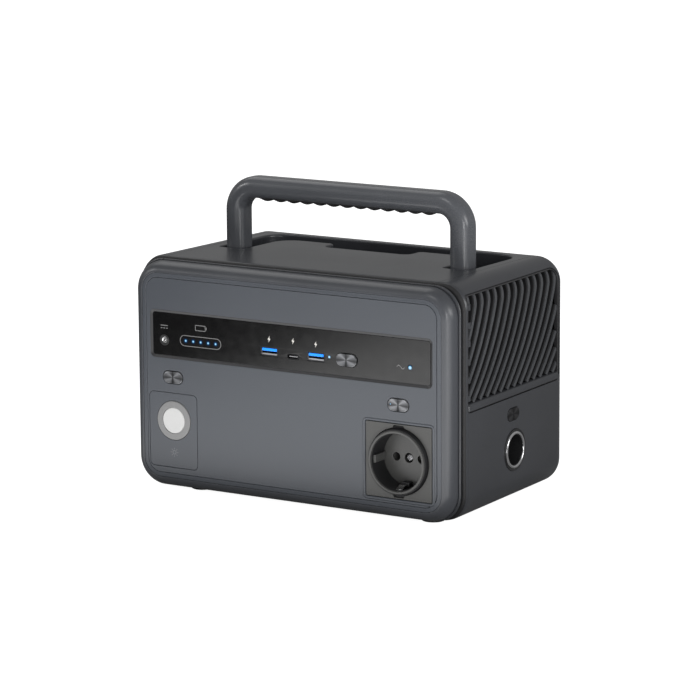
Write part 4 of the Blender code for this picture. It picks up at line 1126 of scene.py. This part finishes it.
def build_socket():
    x, z = SOCKET.x, SOCKET.z
    place = (x, 0, z)
    edge = at(FRONT_Y, (0.02, 0.05), (0.3, -0.3), (0.75, -0.45), (1.3, -0.4), (1.75, -0.05), (1.95, 0.45))
    edge = [(0.02, PLATE_BACK_Y), *edge, (1.95, PLATE_BACK_Y)]
    placed(frame_strip("socket_frame", edge, socket_frame_outline, "Y", "plate"))
    outlines = [rounded_rect((x, z), 50.1, 50.1, 0.9, 4), circle((x, z), 22.7, 96)]
    face = FRONT_Y + 0.1
    cover = plate("socket_faceplate", outlines, "Y", face, face + 3.2, "socket", 0.25, 2)
    for side in (-1, 1):
        outer, rim = z + side * 24.3, z + side * 20.9
        notch = [(x - 3.6, outer), (x + 3.6, outer), (x + 5.4, rim), (x - 5.4, rim)]
        combine(cover, block(notch, "Y", FRONT_Y - 1, face + 4.0), "DIFFERENCE", 12.0)
    placed(cover)
    front, floor = COLLAR_Y, SOCKET_FLOOR_Y
    collar = at(front, (19.4, 0.5), (19.6, 0.15), (20.0, 0), (20.7, 0), (21.05, 0.18), (21.2, 0.6))
    collar += [(21.35, face + 0.8), (21.4, floor + 2), (19.2, floor + 2)]
    spin("socket_collar", collar, place, "Y", "socket", 128)
    # Painted shadow: a near-black sleeve over the collar's outer wall, with a flange behind the notches.
    shadow_skirt = at(front, (21.1, 0.7), (21.8, 0.9))
    shadow_skirt += at(face, (22.4, 1.6), (22.5, 3.3), (25.0, 3.3), (25.0, 4.0), (21.1, 4.0))
    spin("socket_collar_shadow_skirt", shadow_skirt, place, "Y", "dark", 128)
    # Painted shade: a near-black liner over the cup's inner wall.
    liner = at(front, (19.36, 1.0), (19.1, 1.2)) + at(floor, (19.0, 1.0), (19.3, 1.0))
    spin("socket_cup_shade_liner", liner, place, "Y", "dark", 128)
    build_socket_floor()


def build_socket_floor():
    x, z = SOCKET.x, SOCKET.z
    floor = SOCKET_FLOOR_Y
    pins = [circle((x + side * PIN_SPACING / 2, z), 2.75, 40) for side in (-1, 1)]
    outlines = [circle((x, z), 19.3, 96), *pins, circle((x, z), 3.2, 40)]
    placed(plate("socket_insert", outlines, "Y", floor, floor + 10.0, "cup", 0.35, 3))
    bottom = at(floor, (0, 9.0), (18.0, 9.0), (18.0, 14.0), (0, 14.0))
    spin("socket_bottom", bottom, (x, 0, z), "Y", "black", 48)
    for side, name in ((-1, "left"), (1, "right")):
        near, far = sorted((x + side * 17.4, x + side * 19.7))
        corner, end = (near, COLLAR_Y + 3.2, z - 2.6), (far, floor + 0.5, z + 2.6)
        placed(rounded_block(f"socket_key_{name}", corner, end, "cup", 0.35))
    for side, name in ((1, "top"), (-1, "bottom")):
        build_earth_clip(f"earth_clip_{name}", side)
    build_screw("socket_screw", (x, floor + 0.9, z), -1, 2.25)


def build_earth_clip(name, side):
    """A spring strip on a block by the cup's wall, which bulges towards the plug."""
    x, z = SOCKET.x, SOCKET.z
    front, back = FRONT_Y + 0.7, SOCKET_FLOOR_Y - 0.2
    centres = []
    for t in (k / 14 for k in range(15)):
        bulge = 2.0 * sin(pi * min(t * 1.25, 1.0)) ** 1.3
        centres.append((front + (back - front) * t, 18.6 - bulge))
    face = [(y, z + side * height) for y, height in centres]
    rear = [(y, z + side * (height + 0.55)) for y, height in centres[::-1]]
    bm = bmesh.new()
    add_rings(bm, [[(x + u, y, w) for y, w in face + rear] for u in (-2.3, -2.15, 2.15, 2.3)])
    placed(finish_mesh(bm, name, "bright_steel"))
    near, far = sorted((z + side * 15.6, z + side * 19.3))
    corner, end = (x - 3.0, back - 4.2, near), (x + 3.0, back + 0.6, far)
    placed(rounded_block(name + "_block", corner, end, "black", 0.3))


# ---- side grilles


def grille_outline(inset, steps=8):
    """The grille's opening in the side, as (y, z)."""
    front, rear = GRILLE_FRONT_Y + inset, GRILLE_HIGH.y + 0.3 - inset
    bottom, top = GRILLE_LOW.z - 0.3 + inset, GRILLE_HIGH.z + 0.3 - inset
    corners = [(front, bottom), (rear, bottom), (rear, top), (front, top)]
    radii = [max(radius - inset, 0.6) for radius in (3.0, 5.5, 8.0, 3.0)]
    return subdivided(rounded_polygon(corners, radii, steps), steps + 1, 40)


def surface_x(y, z, depth):
    """The x of a surface this far inside the side shell, at this place."""
    depth += rounding_inset(y)
    radius = SHELL_RADIUS - depth
    rise = max(z - (along_shell(y, SHELL_TOPS) - SHELL_RADIUS), 0.0)
    return along_shell(y, SHELL_HALF_WIDTHS) - SHELL_RADIUS + sqrt(max(radius**2 - rise**2, 1.0))


def surface_normal(z):
    rise = max(z - (SHELL_TOPS[0] - SHELL_RADIUS), 0.0) / SHELL_RADIUS
    return Vector((sqrt(max(1 - rise**2, 0.01)), 0, rise))


def louvre_lean(z):
    """How far a louvre has leaned back at this height: straight below, upright near the top."""
    start, end = GRILLE_LOW.z, GRILLE_HIGH.z
    u = (z - start) / (end - start)
    return (end - start) * (1.05 * u - 0.425 * u * u)


def louvre(bm, side, start, depth, width, height):
    """One rounded rib from the sill to the top of the opening."""
    bottom, top = GRILLE_LOW.z + 5.5, GRILLE_HIGH.z - 0.6
    front, rear = GRILLE_FRONT_Y + 4.0, GRILLE_HIGH.y - 0.8
    levels = [bottom + (top - bottom) * i / 36 for i in range(37)]
    centres = [(z, start + louvre_lean(z)) for z in levels]
    centres = [(z, y) for z, y in centres if front <= y <= rear]
    if len(centres) < 3:
        return
    half = width / 2
    section = [(-half, -height), (-half, -0.5), (-half * 0.9, -0.15), (-half * 0.7, 0.0), (0.0, 0.0)]
    section += [(-u, v) for u, v in section[-2::-1]]
    rings = []
    for i, (z, y) in enumerate(centres):
        normal = surface_normal(z)
        here = Vector((surface_x(y, z, depth), y, z))
        a, b = centres[max(i - 1, 0)], centres[min(i + 1, len(centres) - 1)]
        rise = surface_x(y, b[0], depth) - surface_x(y, a[0], depth)
        tangent = Vector((rise, b[1] - a[1], b[0] - a[0])).normalized()
        sideways = tangent.cross(normal).normalized()
        ring = [here + sideways * u + normal * v for u, v in section]
        rings.append([(side * p.x, p.y, p.z) for p in ring])
    add_rings(bm, rings)


def build_grille(name, side):
    """Ribs in a lighter grey, a painted highlight, over deeper near-black fins that paint the shade between
    them.
    """
    starts = [GRILLE_LOW.y + LOUVRE_PITCH * k + LOUVRE_OFFSET for k in range(-9, 16)]
    layers = (("", "rib", "shell", 1.5, 2.7, 1.0), ("_shade_fins", "dark", "black", 2.3, 4.2, 3.3))
    for ending, material, slot, depth, width, height in layers:
        bm = bmesh.new()
        for start in starts:
            louvre(bm, side, start, depth, width, height)
        placed(finish_mesh(bm, name + ending, material))
    build_grille_rim(name, side)
    build_grille_back(name, side)


def build_grille_rim(name, side):
    profile = [(0.35, 3.4), (0.35, 0.75), (0.55, 0.45), (0.95, 0.35), (1.35, 0.5), (1.55, 0.9), (1.6, 3.4)]
    rings = []
    for inset, depth in profile:
        rings.append([(side * surface_x(y, z, depth), y, z) for y, z in grille_outline(inset)])
    placed(loft(name + "_rim", rings, "grille", closed=True))
    bottom = GRILLE_LOW.z + 0.3
    sill = [(bottom + 0.3, 4.2), (bottom + 0.3, 0.1), (bottom + 0.7, -0.45), (bottom + 1.4, -0.6)]
    sill += [(bottom + 3.6, -0.25), (bottom + 4.6, 0.4), (bottom + 5.2, 1.5), (bottom + 5.4, 4.2)]
    proud = 0.6 if side > 0 else 0.0
    front, rear = GRILLE_FRONT_Y + 1.2, GRILLE_HIGH.y - 1.0
    rings = []
    for y, inset in ((front, 1.6), (front + 0.5, 0.5), (front + 1.4, 0.0), (rear - 0.6, 0.0), (rear, 0.6)):
        depths = [min(max(depth + inset, -proud), 4.2) for _, depth in sill]
        rings.append([(side * surface_x(y, z, depth), y, z) for (z, _), depth in zip(sill, depths)])
    placed(loft(name + "_sill", rings, "shell"))
    bm = bmesh.new()
    for k in range(6):
        z = GRILLE_LOW.z + 7.4 + 12.0 * k
        x = surface_x(GRILLE_FRONT_Y, z + 1.9, 0.8)
        corner = (min(side * x, side * (x - 2.4)), GRILLE_FRONT_Y + 0.6, z)
        far = (max(side * x, side * (x - 2.4)), GRILLE_FRONT_Y + 4.8, z + 4.0)
        add_box(bm, corner, far)
    placed(finish_mesh(bm, name + "_tabs", "shell"))


def build_grille_back(name, side):
    """The dark inner wall behind the louvres."""
    z_low, z_high = GRILLE_LOW.z - 2.0, GRILLE_HIGH.z + 2.0
    levels = [z_low + (z_high - z_low) * i / 30 for i in range(31)]
    bm = bmesh.new()
    rings = []
    for y in (GRILLE_LOW.y - 2.0, ROUNDING_Y, GRILLE_HIGH.y + 2.0):
        face = [(surface_x(y, z, 5.6), z) for z in levels]
        rear = [(surface_x(y, z, 6.6), z) for z in levels[::-1]]
        rings.append([(side * x, y, z) for x, z in face + rear])
    add_rings(bm, rings)
    back = finish_mesh(bm, name + "_back", "dark")
    placed(back)


# ---- car socket


def build_car_socket():
    place = (0, CAR_SOCKET.y, CAR_SOCKET.z)
    face = high("car_socket_collar").x - 1.1
    barrel = at(face, (10.5, 0.4), (10.6, 0.9), (11.0, 1.25), (11.5, 1.35), (12.1, 1.2), (12.45, 0.8))
    barrel += at(face, (12.6, 0.4), (12.6, 0.2), (11.45, 0.2), (11.45, -38.0), (10.5, -38.0))
    spin("car_socket_barrel", barrel, place, "X", "chrome", 96)
    liner = at(face, (10.5, 0.35), (10.3, 0.3), (10.2, -38.0), (10.5, -38.0))
    spin("car_socket_liner", liner, place, "X", "black")
    lug = [(13.3, 0.78 + 0.44 * k / 16) for k in range(17)]
    lug += [(12.7, 1.22 - 0.44 * k / 16) for k in range(17)]
    lug = [(r * cos(pi * turn), r * sin(pi * turn)) for r, turn in lug]
    outline = [(CAR_SOCKET.y + u, CAR_SOCKET.z + v) for u, v in lug]
    placed(plate("car_socket_lug", [outline], "X", face + 1.3, face - 1.0, "chrome", 0.1, 1))
    collar = at(face, (11.75, 0.1), (13.3, 0.2), (13.9, 0.6), (14.2, 0.6), (14.4, 0.2), (14.4, -3.0))
    spin("car_socket_collar", collar + at(face, (11.75, -3.0)), place, "X", "black", 96)
    floor = at(face, (0, -38.2), (11.3, -38.2), (11.3, -40.0), (0, -40.0))
    spin("car_socket_floor", floor, place, "X", "black", 48)
    contact = at(face, (0, -34.0), (1.6, -34.3), (2.6, -35.2), (4.0, -37.0), (4.0, -38.1), (0, -38.1))
    spin("car_socket_contact", contact, place, "X", "brass", 40)


def dress_inner_nodes():
    """Gives each CAD node that still shows its own finish."""
    finishes = {name: "board" for name in ("bms_board", "inverter_board", "usb_board", "lamp_board")}
    finishes |= {name: "black" for name in ("fan_frame", "fan_rotor", "battery_tray")}
    finishes |= {"inverter_heatsink": "aluminium", "inverter_transformer": "steel"}
    finishes |= {f"battery_cell_{i}": "cell" for i in range(1, 5)}
    for name, finish in finishes.items():
        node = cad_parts[name]
        node.data.materials.clear()
        node.data.materials.append(M[finish])


# ---- stage


def build_stage():
    bm = bmesh.new()
    add_face(bm, [(x, y, 0) for x, y in ((-9, -9), (9, -9), (9, 9), (-9, 9))])
    mesh = bpy.data.meshes.new("floor")
    bm.to_mesh(mesh)
    bm.free()
    floor = bpy.data.objects.new("floor", mesh)
    show(floor)
    g = Graph("pale_floor_painted_dark_left")
    # Painted shade: to everything but the camera the floor is near black left of x = -0.32 m and grey from
    # x = -0.2 m, darkening what the case reflects from that side; the camera sees it evenly white.
    shade = g.between(g.split()[0], -0.32, -0.2, 0.0, 1.0)
    g.set(colour=g.ramp(shade, [(0.0, (0.03,) * 3), (1.0, (0.40,) * 3)]), rough=0.9, specular=0.0)
    seen = g.add("ShaderNodeBsdfDiffuse", {"Color": (0.5, 0.5, 0.5, 1.0)})
    bright = g.add("ShaderNodeEmission", {"Strength": 0.96})
    both = g.add("ShaderNodeAddShader", {0: seen.outputs[0], 1: bright.outputs[0]})
    camera_ray = g.add("ShaderNodeLightPath").outputs["Is Camera Ray"]
    pick = g.add("ShaderNodeMixShader", {0: camera_ray, 1: g.shader.outputs[0], 2: both.outputs[0]})
    g.link(pick.outputs[0], g.tree.nodes["Material Output"].inputs["Surface"])
    mesh.materials.append(g.material)


def area_light(name, place, aim, size, power):
    data = bpy.data.lights.new(name, "AREA")
    data.shape = "RECTANGLE"
    data.size, data.size_y = size
    data.energy = power
    light = bpy.data.objects.new(name, data)
    light.location = place
    light.rotation_mode = "QUATERNION"
    light.rotation_quaternion = (Vector(aim) - Vector(place)).to_track_quat("-Z", "Y")
    light.visible_camera = False
    show(light)


def build_world():
    world = bpy.data.worlds.new("studio")
    bpy.context.scene.world = world
    world.use_nodes = True
    nodes, links = world.node_tree.nodes, world.node_tree.links
    pick = nodes.new("ShaderNodeMapRange")
    pick.inputs["To Min"].default_value = AMBIENT
    pick.inputs["To Max"].default_value = 1.0
    links.new(nodes.new("ShaderNodeLightPath").outputs["Is Camera Ray"], pick.inputs["Value"])
    links.new(pick.outputs["Result"], nodes["Background"].inputs["Strength"])
    nodes["Background"].inputs["Color"].default_value = (1.0, 1.0, 1.0, 1.0)


def build_camera():
    azimuth, elevation, roll = (radians(angle) for angle in CAMERA_ANGLES)
    level, height = cos(elevation), sin(elevation)
    back = Vector((sin(azimuth) * level, -cos(azimuth) * level, height))
    right = Vector((cos(azimuth), sin(azimuth), 0))
    down = (-back).cross(right)
    rolled_right = right * cos(roll) + down * sin(roll)
    rolled_down = down * cos(roll) - right * sin(roll)
    data = bpy.data.cameras.new("camera")
    data.sensor_width = 36.0
    data.lens = CAMERA_LENS
    data.clip_start, data.clip_end = 0.05, 50.0
    camera = bpy.data.objects.new("camera", data)
    axes = Matrix((rolled_right, -rolled_down, back)).transposed().to_4x4()
    camera.matrix_world = Matrix.Translation(Vector(CAMERA_TARGET) + back * CAMERA_DISTANCE) @ axes
    show(camera)
    bpy.context.scene.camera = camera
    bpy.context.scene.view_settings.view_transform = "Standard"


# ---- assembly

build_front_cover()
build_face_plate()
build_window()
build_seam_shadow_strip()
build_side_shell("left_shell", -1)
build_side_shell("right_shell", 1)
build_top_cover()
build_bottom_cover()
build_rear_cover()
build_feet()
build_handle()
for kind in ("light", "usb", "ac"):
    build_button(f"{kind}_button", f"{kind}_switch", "Y")
build_button("car_button", "car_switch", "X")
build_button_light()
build_dc_jack()
build_usb_a("left")
build_usb_a("right")
build_usb_c()
build_lights()
build_lamp()
build_icons()
build_socket()
build_grille("vent_grille_right", 1)
build_grille("vent_grille_left", -1)
build_car_socket()
dress_inner_nodes()
build_stage()
build_world()
for light in STUDIO_LIGHTS:
    area_light(*light)
build_camera()
